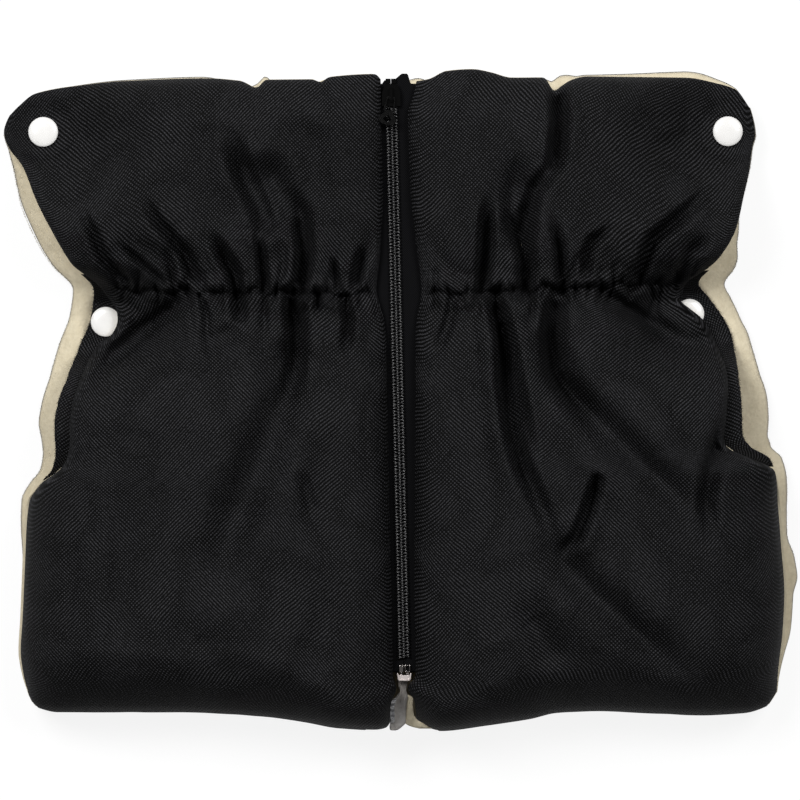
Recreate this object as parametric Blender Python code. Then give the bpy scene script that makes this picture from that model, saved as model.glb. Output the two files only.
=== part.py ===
"""Stroller hand muff: a padded sheet folded at its lower edge round a pushchair's handlebar.

The back panel is one quilt. The front is two quilted halves that a separable coil zip joins, and
they hinge on the fold at the lower edge. Snap fasteners close the sides above and below the bar.
Sizes are in millimetres, and the meshes are written in metres. +X is the wearer's left, +Y the
upper edge and +Z the front. "Rise" is the height above the lower edge, and "reach" the distance
from the centre line to the side.
"""

import math

import bmesh
import bpy
from mathutils import Vector

MM = 0.001
CLEARANCE = 0.3
WADDING_CLEARANCE = 0.5

# Outline, taken along the flat muff. Side edges are (rise, reach), top and lower ones (reach, rise).
LENGTH = 331.0
ZIP_END_RISE = 324.7
LEFT_SIDE = (
    (20.0, 187.0), (46.0, 189.7), (111.0, 187.0), (133.7, 172.7), (151.0, 171.7), (178.0, 166.2),
    (205.0, 156.2), (221.0, 153.7), (234.0, 164.2), (259.0, 180.2), (279.0, 189.2), (291.0, 195.7),
    (301.0, 199.2), (309.0, 196.2),
)
RIGHT_SIDE = (
    (20.0, 189.0), (56.0, 192.2), (121.0, 188.2), (141.0, 178.0), (164.0, 169.7), (199.0, 166.2),
    (218.0, 155.0), (225.0, 149.2), (243.0, 163.7), (266.0, 171.2), (291.0, 176.2), (301.0, 178.2),
    (313.0, 175.7),
)
LEFT_TOP = (
    (8.0, 324.7), (14.0, 328.2), (40.0, 324.7), (72.0, 323.2), (120.0, 327.2), (170.0, 323.2), (196.2, 309.0),
)
RIGHT_TOP = (
    (8.0, 324.7), (36.0, 331.0), (60.0, 327.2), (77.0, 321.2), (120.0, 328.7), (160.0, 324.5), (175.7, 313.0),
)
LEFT_LOWER = ((4.0, 5.5), (16.0, 0.7), (48.0, 4.7), (72.0, 7.7), (172.0, 9.7), (187.0, 20.0))
RIGHT_LOWER = ((4.0, 5.5), (18.0, 0.0), (41.0, 2.7), (80.0, 9.2), (172.0, 9.2), (189.0, 20.0))

# The back's lining shows past the front by these margins, as (rise, margin).
LEFT_MARGIN = (
    (20.0, 0.0), (100.0, 2.0), (124.0, 8.0), (160.0, 9.5), (215.0, 11.5), (257.0, 9.5), (276.0, 7.0),
    (292.0, 0.5), (309.0, 0.0),
)
RIGHT_MARGIN = (
    (20.0, 0.0), (60.0, 4.5), (78.0, 7.5), (106.0, 5.5), (150.0, 11.0), (175.0, 14.5), (225.0, 13.5),
    (250.0, 3.5), (313.0, 0.5),
)

# Waist, where elastic in a casing draws both panels in
WAIST_RISE_AT_ZIP = 218.5
WAIST_RISE_LEFT = 221.0
WAIST_RISE_RIGHT = 225.0
ELASTIC_WIDTH = 6.0
ELASTIC_THICKNESS = 1.0
CASING_HALF = ELASTIC_WIDTH / 2 + CLEARANCE

# Cloth and wadding
SHELL_THICKNESS = 0.8
LINING_THICKNESS = 2.0
EDGE_THICKNESS = 6.0
QUILT_THICKNESS = 13.0
PINCHED_WADDING = 1.2
PINCHED_THICKNESS = SHELL_THICKNESS + PINCHED_WADDING + LINING_THICKNESS + 2 * WADDING_CLEARANCE
BACK_THICKNESS = 12.0
BACK_EDGE_TOP = 7.5
BACK_EDGE_LIFT = 2.5
FOLD_EDGE_LIFT = 5.0
BACK_SIDE_ROUND = 16.0
BACK_TOP_ROUND = 14.0
BACK_FOLD_ROUND = 17.0
BACK_SIDE_INSET = 38.0
BACK_THINNING = 70.0

# How far the wadded front stands off the back
CAVITY_HEIGHT = 32.0
POUCH_CROWN = 15.0
CUFF_CROWN = 6.0
WAIST_DIP = 3.0
EDGE_ROUND = 45.0
WALL_WIDTH = 8.0
ZIP_ROLL = 15.0
TOP_ROUND = 26.0
LOWER_ROUND = 34.0
LOWER_ROUND_AT_ZIP = 15.0
LOWER_WALL_WIDTH = 5.0
LOWER_SHAPE_SHARE = 0.45
TOP_SHAPE_SHARE = 0.30

# Grid lines near the edges, as insets from them. The first two of the top ones hold the upper snap's seat.
LOWER_INSETS = (0.0, 5.0, 14.0, 30.0)
TOP_INSETS = (30.0, 12.0, 5.0, 0.0)
SIDE_INSETS = (29.0, 18.0, 5.0, 0.0)
BACK_LOWER_INSETS = (0.0, 6.0, 18.0)
BACK_SIDE_INSETS = (0.0, 6.0, BACK_SIDE_INSET)

# Side openings: hands go in below the waist, the handlebar runs through above it
HAND_OPENING_LOW = 124.0
HAND_OPENING_LIFT = 35.0
BAR_OPENING_LIFT = 33.0
BAR_OPENING_HIGH = 252.0
FACING_UNDERLAP = 5.0
FACING_THICKNESS = 1.2
FACING_REVEAL = 7.0

# Zip
ZIP_X_HIGH = -4.25
ZIP_RISE_HIGH = 300.7
ZIP_X_LOW = 1.75
ZIP_RISE_LOW = 35.7
ZIP_REVEAL = 6.0
TAPE_INNER = 0.8
TAPE_WIDTH = 12.2
TAPE_THICKNESS = 0.6
TAPE_LOW_RISE = 30.6
TAPE_OVER_END_LEFT = 1.3
TAPE_OVER_END_RIGHT = 4.3
COIL_PITCH = 1.7
COIL_BACK = 3.2
COIL_TIP = 0.75
COIL_VALLEY = 1.45
COIL_THICKNESS = 1.8
COIL_LOW_RISE = 36.5
STOP_LENGTH = 2.4
STOP_REACH = 2.6
STOP_INNER = 0.1
STOP_UNDER = 0.8
STOP_OVER = 1.2
PIN_LENGTH = 7.0
PIN_WIDTH = 2.2
PIN_INNER = 0.4
PIN_THICKNESS = 1.6
BOX_LENGTH = 3.8
BOX_WALL = 0.6
BOX_FLARE = 0.3

# Slider and pull
SLIDER_BELOW_END = 6.7
COIL_UNDER_SLIDER = 2.0
SLIDER_LENGTH = 11.0
SLIDER_WIDTH = 9.2
SLIDER_PLATE = 1.1
SLIDER_WALL = 0.7
SLIDER_SHOULDER = 0.62
SLIDER_TAPER_FROM = 0.2
JOIN_OVERLAP = 0.2
WEDGE_WIDTH = 1.0
WEDGE_LENGTH = 4.0
BAIL_LENGTH = 7.2
BAIL_WIDTH = 1.3
BAIL_THICKNESS = 1.1
BAIL_CLEAR = 1.7
PULL_BAR = 1.2
PULL_THICKNESS = 1.0
PULL_WINDOW = 5.6
PULL_WINDOW_WIDTH = 3.4
PULL_RAIL = 0.8
PULL_TIP_LENGTH = 6.5
PULL_TIP_WIDTH = 9.6
PULL_TILT_DEG = 10.0
PULL_RISE_DEG = 10.0

# Snap fasteners, as (reach, rise) on each half
UPPER_SNAP_LEFT = (179.2, 300.7)
UPPER_SNAP_RIGHT = (164.2, 301.0)
LOWER_SNAP_LEFT = (148.0, 205.5)
LOWER_SNAP_RIGHT = (145.0, 209.5)
SNAP_SEAT = 18.0
SNAP_FLAT = 10.0
UPPER_SNAP_DRAW = 58.0
LOWER_SNAP_DRAW = 42.0
CAP_DIAMETER = 15.0
CAP_MARGIN = 1.5
CAP_HEIGHT = 2.4
SHANK_DIAMETER = 4.0
SOCKET_DIAMETER = 12.0
SOCKET_HEIGHT = 2.6
STUD_BASE_DIAMETER = 11.0
STUD_BASE_HEIGHT = 1.0
STUD_HEAD_DIAMETER = 6.0
STUD_HEAD_HEIGHT = 2.1
POST_DIAMETER = 12.0
POST_HEIGHT = 1.2
POST_RECESS = 2.4

# Folds of the outer cloth, as ((start reach, start rise), (end reach, end rise), height, half width)
GATHER_HEIGHT = 3.0
GATHER_SPREAD = 30.0
LEFT_FOLDS = (
    ((66.0, 312.0), (60.0, 236.0), 6.0, 11.0),
    ((98.0, 306.0), (84.0, 240.0), 5.0, 12.0),
    ((150.0, 285.0), (112.0, 234.0), 4.0, 10.0),
    ((66.0, 205.0), (98.0, 60.0), 4.0, 16.0),
)
RIGHT_FOLDS = (
    ((62.0, 316.0), (62.0, 240.0), 6.0, 10.0),
    ((96.0, 312.0), (92.0, 240.0), 5.0, 11.0),
    ((142.0, 280.0), (116.0, 236.0), 4.0, 10.0),
    ((78.0, 200.0), (96.0, 120.0), 5.0, 12.0),
    ((96.0, 90.0), (146.0, 30.0), 4.0, 12.0),
)

# Levels that follow from the sizes above
GROOVE_DEPTH = ELASTIC_THICKNESS + CLEARANCE
ELASTIC_SEAT = (WADDING_CLEARANCE + GROOVE_DEPTH - ELASTIC_THICKNESS) / 2
PANEL_GAP_LEVEL = BACK_THICKNESS + CLEARANCE
ZIP_UNDERSIDE = BACK_THICKNESS + CAVITY_HEIGHT
TAPE_TOP = ZIP_UNDERSIDE + LINING_THICKNESS
COIL_BOTTOM = TAPE_TOP + CLEARANCE
COIL_TOP = COIL_BOTTOM + COIL_THICKNESS
BACK_SNAP_TOP = POST_RECESS + PINCHED_THICKNESS
STUD_BOTTOM = BACK_SNAP_TOP + CLEARANCE
STUD_SHOULDER = STUD_BOTTOM + STUD_BASE_HEIGHT
SOCKET_BOTTOM = STUD_SHOULDER + CLEARANCE
SOCKET_TOP = SOCKET_BOTTOM + SOCKET_HEIGHT
SNAP_UNDERSIDE = SOCKET_TOP + CLEARANCE
FACING_SNAP_TOP = SNAP_UNDERSIDE + FACING_THICKNESS
TAPE_OUTER = TAPE_INNER + TAPE_WIDTH
LINING_START = TAPE_OUTER - ZIP_REVEAL + CLEARANCE
SLIDER_RISE = ZIP_END_RISE - SLIDER_BELOW_END
COIL_HIGH_RISE = SLIDER_RISE - COIL_UNDER_SLIDER
CENTRE_RISE = LENGTH / 2 - 0.25
FAR = 999.0  # stands for a distance that no longer matters
HINGE_CLEARANCE = 0.5

BLACK_CLOTH = ((0.012, 0.012, 0.013, 1.0), 0.85, 0.0)
CREAM_FLEECE = ((0.62, 0.55, 0.43, 1.0), 0.95, 0.0)
WHITE_WADDING = ((0.80, 0.80, 0.78, 1.0), 0.95, 0.0)
WHITE_ELASTIC = ((0.70, 0.70, 0.68, 1.0), 0.80, 0.0)
BLACK_TAPE = ((0.010, 0.010, 0.011, 1.0), 0.80, 0.0)
BLACK_NYLON = ((0.015, 0.015, 0.017, 1.0), 0.35, 0.0)
BLACK_PAINT = ((0.012, 0.012, 0.013, 1.0), 0.30, 0.5)
PEARL_CAP = ((0.90, 0.88, 0.85, 1.0), 0.25, 0.0)
BRIGHT_METAL = ((0.75, 0.73, 0.70, 1.0), 0.25, 1.0)


def clear_scene():
    for item in list(bpy.data.objects):
        bpy.data.objects.remove(item, do_unlink=True)


def material(name, finish):
    colour, roughness, metallic = finish
    made = bpy.data.materials.get(name) or bpy.data.materials.new(name)
    made.use_nodes = True
    made.diffuse_color = colour
    shader = made.node_tree.nodes["Principled BSDF"]
    shader.inputs["Base Color"].default_value = colour
    shader.inputs["Roughness"].default_value = roughness
    shader.inputs["Metallic"].default_value = metallic
    return made


def add_piece(name, finish, points, faces, origin=(0.0, 0.0, 0.0), parent=None, smooth=True):
    """Make one named object from points in millimetres, with its own material."""
    mesh = bpy.data.meshes.new(name)
    ox, oy, oz = origin
    mesh.from_pydata([((x - ox) * MM, (y - oy) * MM, (z - oz) * MM) for x, y, z in points], [], faces)
    shape = bmesh.new()
    shape.from_mesh(mesh)
    bmesh.ops.recalc_face_normals(shape, faces=shape.faces)
    shape.to_mesh(mesh)
    shape.free()
    mesh.materials.append(material(name, finish))
    if smooth:
        mesh.shade_smooth()
        mesh.set_sharp_from_angle(angle=math.radians(40.0))
    piece = bpy.data.objects.new(name, mesh)
    bpy.context.scene.collection.objects.link(piece)
    put_at(piece, origin, parent)
    return piece


def put_at(item, origin, parent):
    """Place an object by its origin in the part's frame, under a chain of unturned parents."""
    place = Vector(origin) * MM
    item.parent = parent
    while parent:
        place -= parent.location
        parent = parent.parent
    item.location = place


def add_joint_empty(name, origin, parent=None):
    """An empty on a joint's axis carries the pieces that move there."""
    empty = bpy.data.objects.new(name, None)
    bpy.context.scene.collection.objects.link(empty)
    put_at(empty, origin, parent)
    return empty


def curve_value(knots, at):
    """Smooth value through (position, value) knots without overshoot, flat past both ends."""
    if at <= knots[0][0]:
        return knots[0][1]
    if at >= knots[-1][0]:
        return knots[-1][1]
    rates = [(b[1] - a[1]) / (b[0] - a[0]) for a, b in zip(knots, knots[1:])]
    slopes = [rates[0]]
    for before, after in zip(rates, rates[1:]):
        turning = before * after <= 0.0
        slopes.append(0.0 if turning else 2.0 * before * after / (before + after))
    slopes.append(rates[-1])
    k = next(i for i in range(len(rates)) if at <= knots[i + 1][0])
    (x0, y0), (x1, y1) = knots[k], knots[k + 1]
    span = x1 - x0
    t = (at - x0) / span
    rise = y0 * (2 * t**3 - 3 * t**2 + 1) + y1 * (3 * t**2 - 2 * t**3)
    return rise + span * (slopes[k] * (t**3 - 2 * t**2 + t) + slopes[k + 1] * (t**3 - t**2))


def mix(low, high, share):
    return low + (high - low) * share


def clamp(value):
    return max(0.0, min(1.0, value))


def smooth_step(value):
    value = clamp(value)
    return value * value * (3.0 - 2.0 * value)


def round_off(distance, radius, start=0.0):
    """Quarter-ellipse rise from 0 at the edge to 1 at the radius."""
    share = clamp((distance - start) / (radius - start))
    return math.sqrt(1.0 - (1.0 - share) ** 2)


def zip_x(rise):
    """The zip's centre line leans a little in the flat muff."""
    lean = (ZIP_X_HIGH - ZIP_X_LOW) / (ZIP_RISE_HIGH - ZIP_RISE_LOW)
    return ZIP_X_LOW + (rise - ZIP_RISE_LOW) * lean


def to_frame(x, rise, z):
    """From distance right of the centre line, rise and height to the part's own frame."""
    return (x, rise - CENTRE_RISE, z)


class Half:
    """The outline, rows and columns of one front half. side is -1 on the left, +1 on the right."""

    def __init__(self, side):
        left = side < 0
        self.side = side
        self.name = "left" if left else "right"
        self.edge = LEFT_SIDE if left else RIGHT_SIDE
        self.top = LEFT_TOP if left else RIGHT_TOP
        self.lower = LEFT_LOWER if left else RIGHT_LOWER
        self.margin = LEFT_MARGIN if left else RIGHT_MARGIN
        self.waist = WAIST_RISE_LEFT if left else WAIST_RISE_RIGHT
        self.upper_snap = UPPER_SNAP_LEFT if left else UPPER_SNAP_RIGHT
        self.lower_snap = LOWER_SNAP_LEFT if left else LOWER_SNAP_RIGHT
        self.folds = LEFT_FOLDS if left else RIGHT_FOLDS
        self.low_corner = self.edge[0][0]
        self.high_corner = self.edge[-1][0]
        snap_low = self.lower_snap[1] - SNAP_SEAT / 2
        snap_high = self.lower_snap[1] + SNAP_SEAT / 2
        beside_cap = self.lower_snap[0] - CAP_DIAMETER / 2 - CAP_MARGIN
        self.reveal = (
            (HAND_OPENING_LOW, 0.0), (HAND_OPENING_LOW + 10.0, FACING_REVEAL),
            (snap_low - 9.0, FACING_REVEAL),
            (snap_low, curve_value(self.edge, snap_low) - beside_cap),
            (snap_high, curve_value(self.edge, snap_high) - beside_cap),
            (self.waist + 8.0, 7.0), (self.waist + 22.0, 0.0),
        )
        opened = PANEL_GAP_LEVEL + HAND_OPENING_LIFT
        barred = PANEL_GAP_LEVEL + BAR_OPENING_LIFT
        held = FACING_SNAP_TOP + CLEARANCE
        self.edge_level = (
            (HAND_OPENING_LOW - 10.0, PANEL_GAP_LEVEL),
            (HAND_OPENING_LOW + 12.0, mix(PANEL_GAP_LEVEL, opened, 0.85)),
            (HAND_OPENING_LOW + 28.0, opened), (snap_low - 26.0, opened),
            (snap_low - 9.0, mix(held, opened, 0.75)), (snap_low, held), (snap_high, held),
            (self.waist, mix(held, barred, 0.5)), (self.waist + 14.0, barred),
            (BAR_OPENING_HIGH, barred), (self.upper_snap[1] - SNAP_SEAT / 2 - 4.0, PANEL_GAP_LEVEL),
        )

    def reach_at(self, rise):
        """Reach of the wadded panel's side edge, inside the facing at the hand opening."""
        return curve_value(self.edge, rise) - curve_value(self.reveal, rise)

    def at_waist(self, row):
        """True for the two row lines that edge the elastic's casing."""
        return abs(row[0] - self.waist) < CASING_HALF * 1.01

    def rows(self):
        """Row lines as (side rise, zip rise, inset from lower edge, inset from top edge)."""
        snap_low = self.lower_snap[1] - SNAP_SEAT / 2
        snap_high = self.lower_snap[1] + SNAP_SEAT / 2
        opening_low, opening_high = HAND_OPENING_LOW + 10.0, snap_low - 9.0
        inner = [mix(self.low_corner, HAND_OPENING_LOW, share) for share in (0.38, 0.67)]
        inner += [HAND_OPENING_LOW - 8.0, opening_low]
        inner += [mix(opening_low, opening_high, share) for share in (0.33, 0.7)]
        inner += [opening_high, snap_low, snap_high, self.waist - CASING_HALF, self.waist + CASING_HALF]
        inner += [self.waist + 18.0, BAR_OPENING_HIGH]
        lines = [(self.low_corner + e, self.lower[0][1] + e, e, FAR) for e in LOWER_INSETS]
        for rise in inner:
            if rise <= self.waist:
                share = (rise - self.low_corner) / (self.waist - self.low_corner)
                zip_rise = mix(self.lower[0][1], WAIST_RISE_AT_ZIP, share)
            else:
                share = (rise - self.waist) / (self.high_corner - self.waist)
                zip_rise = mix(WAIST_RISE_AT_ZIP, ZIP_END_RISE, share)
            if self.at_waist((rise,)):
                zip_rise = WAIST_RISE_AT_ZIP + (rise - self.waist)
            lines.append((rise, zip_rise, rise - self.low_corner, self.high_corner - rise))
        lines += [(self.high_corner - e, ZIP_END_RISE - e, FAR, e) for e in TOP_INSETS]
        return lines

    def columns(self):
        """Column lines as (distance from the zip edge or None, distance from the side or None, share)."""
        near = [(from_zip, None, None) for from_zip in (0.0, LINING_START, ZIP_ROLL)]
        middle = [(None, None, share) for share in (0.25, 0.5, 0.75)]
        far = [(None, inset, None) for inset in (EDGE_ROUND,) + SIDE_INSETS]
        return near + middle + far


def plan_point(half, row, column):
    """Plan position of one grid point, and its distances from the zip's edge and the side edge."""
    side_rise, zip_rise, from_lower, from_top = row
    from_zip, from_side, share = column
    first = zip_x(zip_rise) * half.side + ZIP_REVEAL
    last = half.reach_at(side_rise)
    if from_zip is not None:
        reach = first + from_zip
    elif from_side is not None:
        reach = last - from_side
    else:
        reach = mix(first + ZIP_ROLL, last - EDGE_ROUND, share)
    along = (reach - first) / (last - first)
    rise = mix(zip_rise, side_rise, along)
    span = half.high_corner - half.low_corner
    low_share = top_share = 1.0
    if from_lower > LOWER_INSETS[-1]:
        low_share = clamp(1.0 - (side_rise - half.low_corner) / (span * LOWER_SHAPE_SHARE))
    if from_top > TOP_INSETS[0]:
        top_share = clamp(1.0 - (half.high_corner - side_rise) / (span * TOP_SHAPE_SHARE))
    low_line = mix(half.lower[0][1], half.low_corner, along)
    top_line = mix(ZIP_END_RISE, half.high_corner, along)
    rise += low_share * (curve_value(half.lower, reach) - low_line)
    rise += top_share * (curve_value(half.top, reach) - top_line)
    return reach, rise, reach - first, last - reach


def crown_at(half, rise):
    """Extra height of the puffed middle, low at the drawn-in waist."""
    knots = (
        (half.low_corner, 0.6 * POUCH_CROWN), (60.0, POUCH_CROWN), (150.0, POUCH_CROWN),
        (half.waist - 28.0, 0.45 * POUCH_CROWN), (half.waist, -WAIST_DIP),
        (half.waist + 26.0, 0.8 * CUFF_CROWN),
        (half.waist + 50.0, CUFF_CROWN), (half.high_corner, 0.5 * CUFF_CROWN),
    )
    return curve_value(knots, rise)


def height_at(half, row, place, upper):
    """Height of the front's outer face, or of its lining's inner face."""
    side_rise, _, from_lower, from_top = row
    reach, rise, from_zip, from_side = place
    top_share = clamp(from_zip / (from_zip + from_side))
    top_knots = (
        (0.0, ZIP_UNDERSIDE), (0.11, ZIP_UNDERSIDE), (0.2, mix(PANEL_GAP_LEVEL, ZIP_UNDERSIDE, 0.88)),
        (0.45, mix(PANEL_GAP_LEVEL, ZIP_UNDERSIDE, 0.55)), (0.8, PANEL_GAP_LEVEL),
    )
    weights = (
        (from_side, curve_value(half.edge_level, side_rise)),
        (from_top, curve_value(top_knots, top_share)),
        (from_lower, PANEL_GAP_LEVEL),
    )
    total = sum((distance + 1.0) ** -2 for distance, _ in weights)
    edge = sum(level * (distance + 1.0) ** -2 for distance, level in weights) / total
    crown = crown_at(half, side_rise)
    lower_round = mix(LOWER_ROUND_AT_ZIP, LOWER_ROUND, smooth_step((from_zip - 16.0) / 50.0))
    drawn = 1.0
    for snap, spread in ((half.upper_snap, UPPER_SNAP_DRAW), (half.lower_snap, LOWER_SNAP_DRAW)):
        away = math.hypot(reach - snap[0], rise - snap[1])
        drawn *= smooth_step((away - SNAP_FLAT) / spread)
    if upper:
        ease = round_off(from_side, EDGE_ROUND) * round_off(from_lower, lower_round)
        ease *= round_off(from_top, TOP_ROUND)
        filled = ZIP_UNDERSIDE + EDGE_THICKNESS
        filled += (crown + QUILT_THICKNESS - EDGE_THICKNESS) * round_off(from_zip, EDGE_ROUND)
        return mix(edge + EDGE_THICKNESS, filled, ease * drawn)
    ease = round_off(from_side, EDGE_ROUND, WALL_WIDTH)
    ease *= round_off(from_lower, lower_round, LOWER_WALL_WIDTH)
    ease *= round_off(from_top, TOP_ROUND, LOWER_WALL_WIDTH)
    hollow = ZIP_UNDERSIDE + crown * smooth_step((from_zip - LINING_START) / (EDGE_ROUND - LINING_START))
    return mix(edge, hollow, ease * drawn)


def on_seat(row, column):
    """True where a grid point belongs to the flat seat of the upper snap."""
    return row[3] in TOP_INSETS[:2] and column[1] in SIDE_INSETS


def front_surface(half, upper, raised=0.0):
    """Grid of the outer face of a front half, or of its lining's inner face, from the lower edge up."""
    grid = []
    for row in half.rows():
        line = []
        for column in half.columns():
            place = plan_point(half, row, column)
            z = height_at(half, row, place, upper)
            if on_seat(row, column):
                z = SNAP_UNDERSIDE + (PINCHED_THICKNESS if upper else 0.0)
            line.append(to_frame(half.side * place[0], place[1], z + raised))
        grid.append(line)
    return grid


def point_normals(grid):
    """Upward normal of every grid point, averaged over its triangles."""
    points = [Vector(point) for point in flat_list(grid)]
    normals = [Vector((0.0, 0.0, 0.0)) for _ in points]
    for face in grid_faces(grid, 0):
        a, b, c = (points[k] for k in face)
        normal = (b - a).cross(c - a)
        normal *= math.copysign(1.0, normal.z)
        for k in face:
            normals[k] += normal
    width = len(grid[0])
    return [[normals[r * width + c].normalized() for c in range(width)] for r in range(len(grid))]


def offset_in(grid, depth, sunk=0.0):
    """The same grid moved inwards square to its surface, with its boundary drawn in and sunk."""
    rows, columns = len(grid), len(grid[0])
    normals = point_normals(grid)
    edges = draw_in(grid, depth)
    moved = []
    for r in range(rows):
        line = []
        for c in range(columns):
            x, y, z = grid[r][c]
            if r in (0, rows - 1) or c in (0, columns - 1):
                line.append((edges[r][c][0], edges[r][c][1], z - depth - sunk))
            else:
                line.append(tuple(Vector((x, y, z)) - normals[r][c] * depth))
        moved.append(line)
    return moved


def draw_in(grid, amount, lift=0.0):
    """Move the outermost points of a grid inwards over its own triangles, and up by the lift."""
    rows, columns = len(grid), len(grid[0])
    drawn = [list(line) for line in grid]

    def towards(point, target, share):
        return tuple((t - p) * share for p, t in zip(point, target))

    for r, c in boundary(rows, columns):
        point = grid[r][c]
        inner_row = {0: 1, rows - 1: rows - 2}.get(r, r)
        inner_column = {0: 1, columns - 1: columns - 2}.get(c, c)
        shares = []
        for target in (grid[inner_row][c], grid[r][inner_column]):
            run = math.hypot(target[0] - point[0], target[1] - point[1])
            shares.append(amount / run if run else 0.0)
        both = min(shares) if (r, c) in ((0, 0), (rows - 1, columns - 1)) else 0.0
        steps = [towards(point, grid[inner_row][inner_column], both),
                 towards(point, grid[inner_row][c], shares[0] - both),
                 towards(point, grid[r][inner_column], shares[1] - both), (0.0, 0.0, lift)]
        drawn[r][c] = tuple(p + sum(move) for p, move in zip(point, zip(*steps)))
    return drawn


def boundary(rows, columns):
    """Grid indexes round the edge, in order."""
    loop = [(0, c) for c in range(columns)]
    loop += [(r, columns - 1) for r in range(1, rows)]
    loop += [(rows - 1, c) for c in range(columns - 2, -1, -1)]
    loop += [(r, 0) for r in range(rows - 2, 0, -1)]
    return loop


def grid_faces(grid, first):
    """Two triangles a cell, cut along the same diagonal in every layer, so that layers nest."""
    width = len(grid[0])
    faces = []
    for r in range(len(grid) - 1):
        for c in range(width - 1):
            a = first + r * width + c
            faces.append((a, a + 1, a + width + 1))
            faces.append((a, a + width + 1, a + width))
    return faces


def flat_list(grid):
    return [point for line in grid for point in line]


def refine(grid, lift):
    """Put a point midway along each edge and diagonal, and raise the inner points by lift."""
    rows, columns = len(grid), len(grid[0])
    fine = []
    for r in range(2 * rows - 1):
        line = []
        for c in range(2 * columns - 1):
            near, far = grid[r // 2][c // 2], grid[(r + 1) // 2][(c + 1) // 2]
            x, y, z = [mix(a, b, 0.5) for a, b in zip(near, far)]
            inside = 0 < r < 2 * rows - 2 and 0 < c < 2 * columns - 2
            line.append((x, y, z + (lift(x, y, r, c) if inside else 0.0)))
        fine.append(line)
    return fine


def tray(outer, inner, skirt_level, lip_level):
    """Closed skin with a turned-down skirt round its edge. outer may be twice as fine as inner."""
    rows, columns = len(inner), len(inner[0])
    step = (len(outer) - 1) // (rows - 1)
    width = len(outer[0])
    points = flat_list(outer) + flat_list(inner)
    inner_first = len(outer) * width
    faces = grid_faces(outer, 0) + [face[::-1] for face in grid_faces(inner, inner_first)]
    loop = boundary(rows, columns)
    skirt_first = len(points)
    for r, c in loop:
        x, y, _ = outer[r * step][c * step]
        points.append((x, y, skirt_level[r][c]))
    lip_first = len(points)
    for r, c in loop:
        x, y, _ = inner[r][c]
        points.append((x, y, lip_level[r][c]))
    count = len(loop)
    for k in range(count):
        (r0, c0), (r1, c1) = loop[k], loop[(k + 1) % count]
        edge = [(r0 * step) * width + c0 * step]
        if step == 2:
            edge.append((r0 + r1) * width + c0 + c1)
        edge.append((r1 * step) * width + c1 * step)
        after = (k + 1) % count
        faces.append(tuple(edge + [skirt_first + after, skirt_first + k]))
        faces.append((skirt_first + k, skirt_first + after, lip_first + after, lip_first + k))
        in0 = inner_first + r0 * columns + c0
        in1 = inner_first + r1 * columns + c1
        faces.append((lip_first + k, lip_first + after, in1, in0))
    return points, faces


def slab(upper, lower):
    """Closed layer between two grids of the same size."""
    rows, columns = len(upper), len(upper[0])
    points = flat_list(upper) + flat_list(lower)
    first = rows * columns
    faces = grid_faces(upper, 0) + [face[::-1] for face in grid_faces(lower, first)]
    loop = [r * columns + c for r, c in boundary(rows, columns)]
    for a, b in zip(loop, loop[1:] + loop[:1]):
        faces.append((a, b, first + b, first + a))
    return points, faces


def distance_to_fold(reach, rise, start, end):
    """Distance from a point to a fold's line."""
    run = (end[0] - start[0], end[1] - start[1])
    length = math.hypot(*run)
    share = ((reach - start[0]) * run[0] + (rise - start[1]) * run[1]) / length**2
    nearest = (start[0] + run[0] * clamp(share), start[1] + run[1] * clamp(share))
    return math.hypot(reach - nearest[0], rise - nearest[1])


def fold_lift(half):
    """Height that the gathers and main folds add to the outer cloth."""
    def lift(x, y, r, c):
        reach, rise = abs(x), y + CENTRE_RISE
        waist = mix(WAIST_RISE_AT_ZIP, half.waist, reach / half.reach_at(half.waist))
        height = 0.0
        if c % 2 and abs(rise - waist) > CASING_HALF:
            height += GATHER_HEIGHT * math.exp(-abs(rise - waist) / GATHER_SPREAD)
        for start, end, crest, width in half.folds:
            away = distance_to_fold(reach, rise, start, end)
            height += crest * math.exp(-(away / width) ** 2)
        clear = 1.0
        for snap in (half.upper_snap, half.lower_snap):
            clear *= smooth_step((math.hypot(reach - snap[0], rise - snap[1]) - SNAP_SEAT) / SNAP_SEAT)
        return height * clear
    return lift


def levels(grid, raised=0.0):
    return [[point[2] + raised for point in line] for line in grid]


def make_front_quilt(half, hinge):
    """Outer shell, wadding, fleece lining and waist elastic of one half."""
    below_shell = SHELL_THICKNESS + WADDING_CLEARANCE
    above_lining = LINING_THICKNESS + WADDING_CLEARANCE
    outer = front_surface(half, True)
    inner = offset_in(outer, SHELL_THICKNESS)
    rim = front_surface(half, False, above_lining)
    lip = levels(draw_in(rim, SHELL_THICKNESS))
    points, faces = tray(refine(outer, fold_lift(half)), inner, levels(rim), lip)
    shell = add_piece("front_shell_" + half.name, BLACK_CLOTH, points, faces, parent=hinge)
    pad_top = offset_in(outer, below_shell, CLEARANCE)
    for r, row in enumerate(half.rows()):
        if half.at_waist(row):
            pad_top[r] = [(x, y, z - GROOVE_DEPTH) for x, y, z in pad_top[r]]
    pad_low = draw_in(rim, below_shell, CLEARANCE)
    points, faces = slab(pad_top, pad_low)
    padding = add_piece("front_padding_" + half.name, WHITE_WADDING, points, faces, parent=hinge)
    fleece_top = [line[1:] for line in front_surface(half, False, LINING_THICKNESS)]
    fleece_low = [line[1:] for line in front_surface(half, False)]
    points, faces = slab(fleece_top, fleece_low)
    lining = add_piece("front_lining_" + half.name, CREAM_FLEECE, points, faces, parent=hinge)
    make_elastic(half, pad_top, hinge)
    return shell, padding, lining


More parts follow.
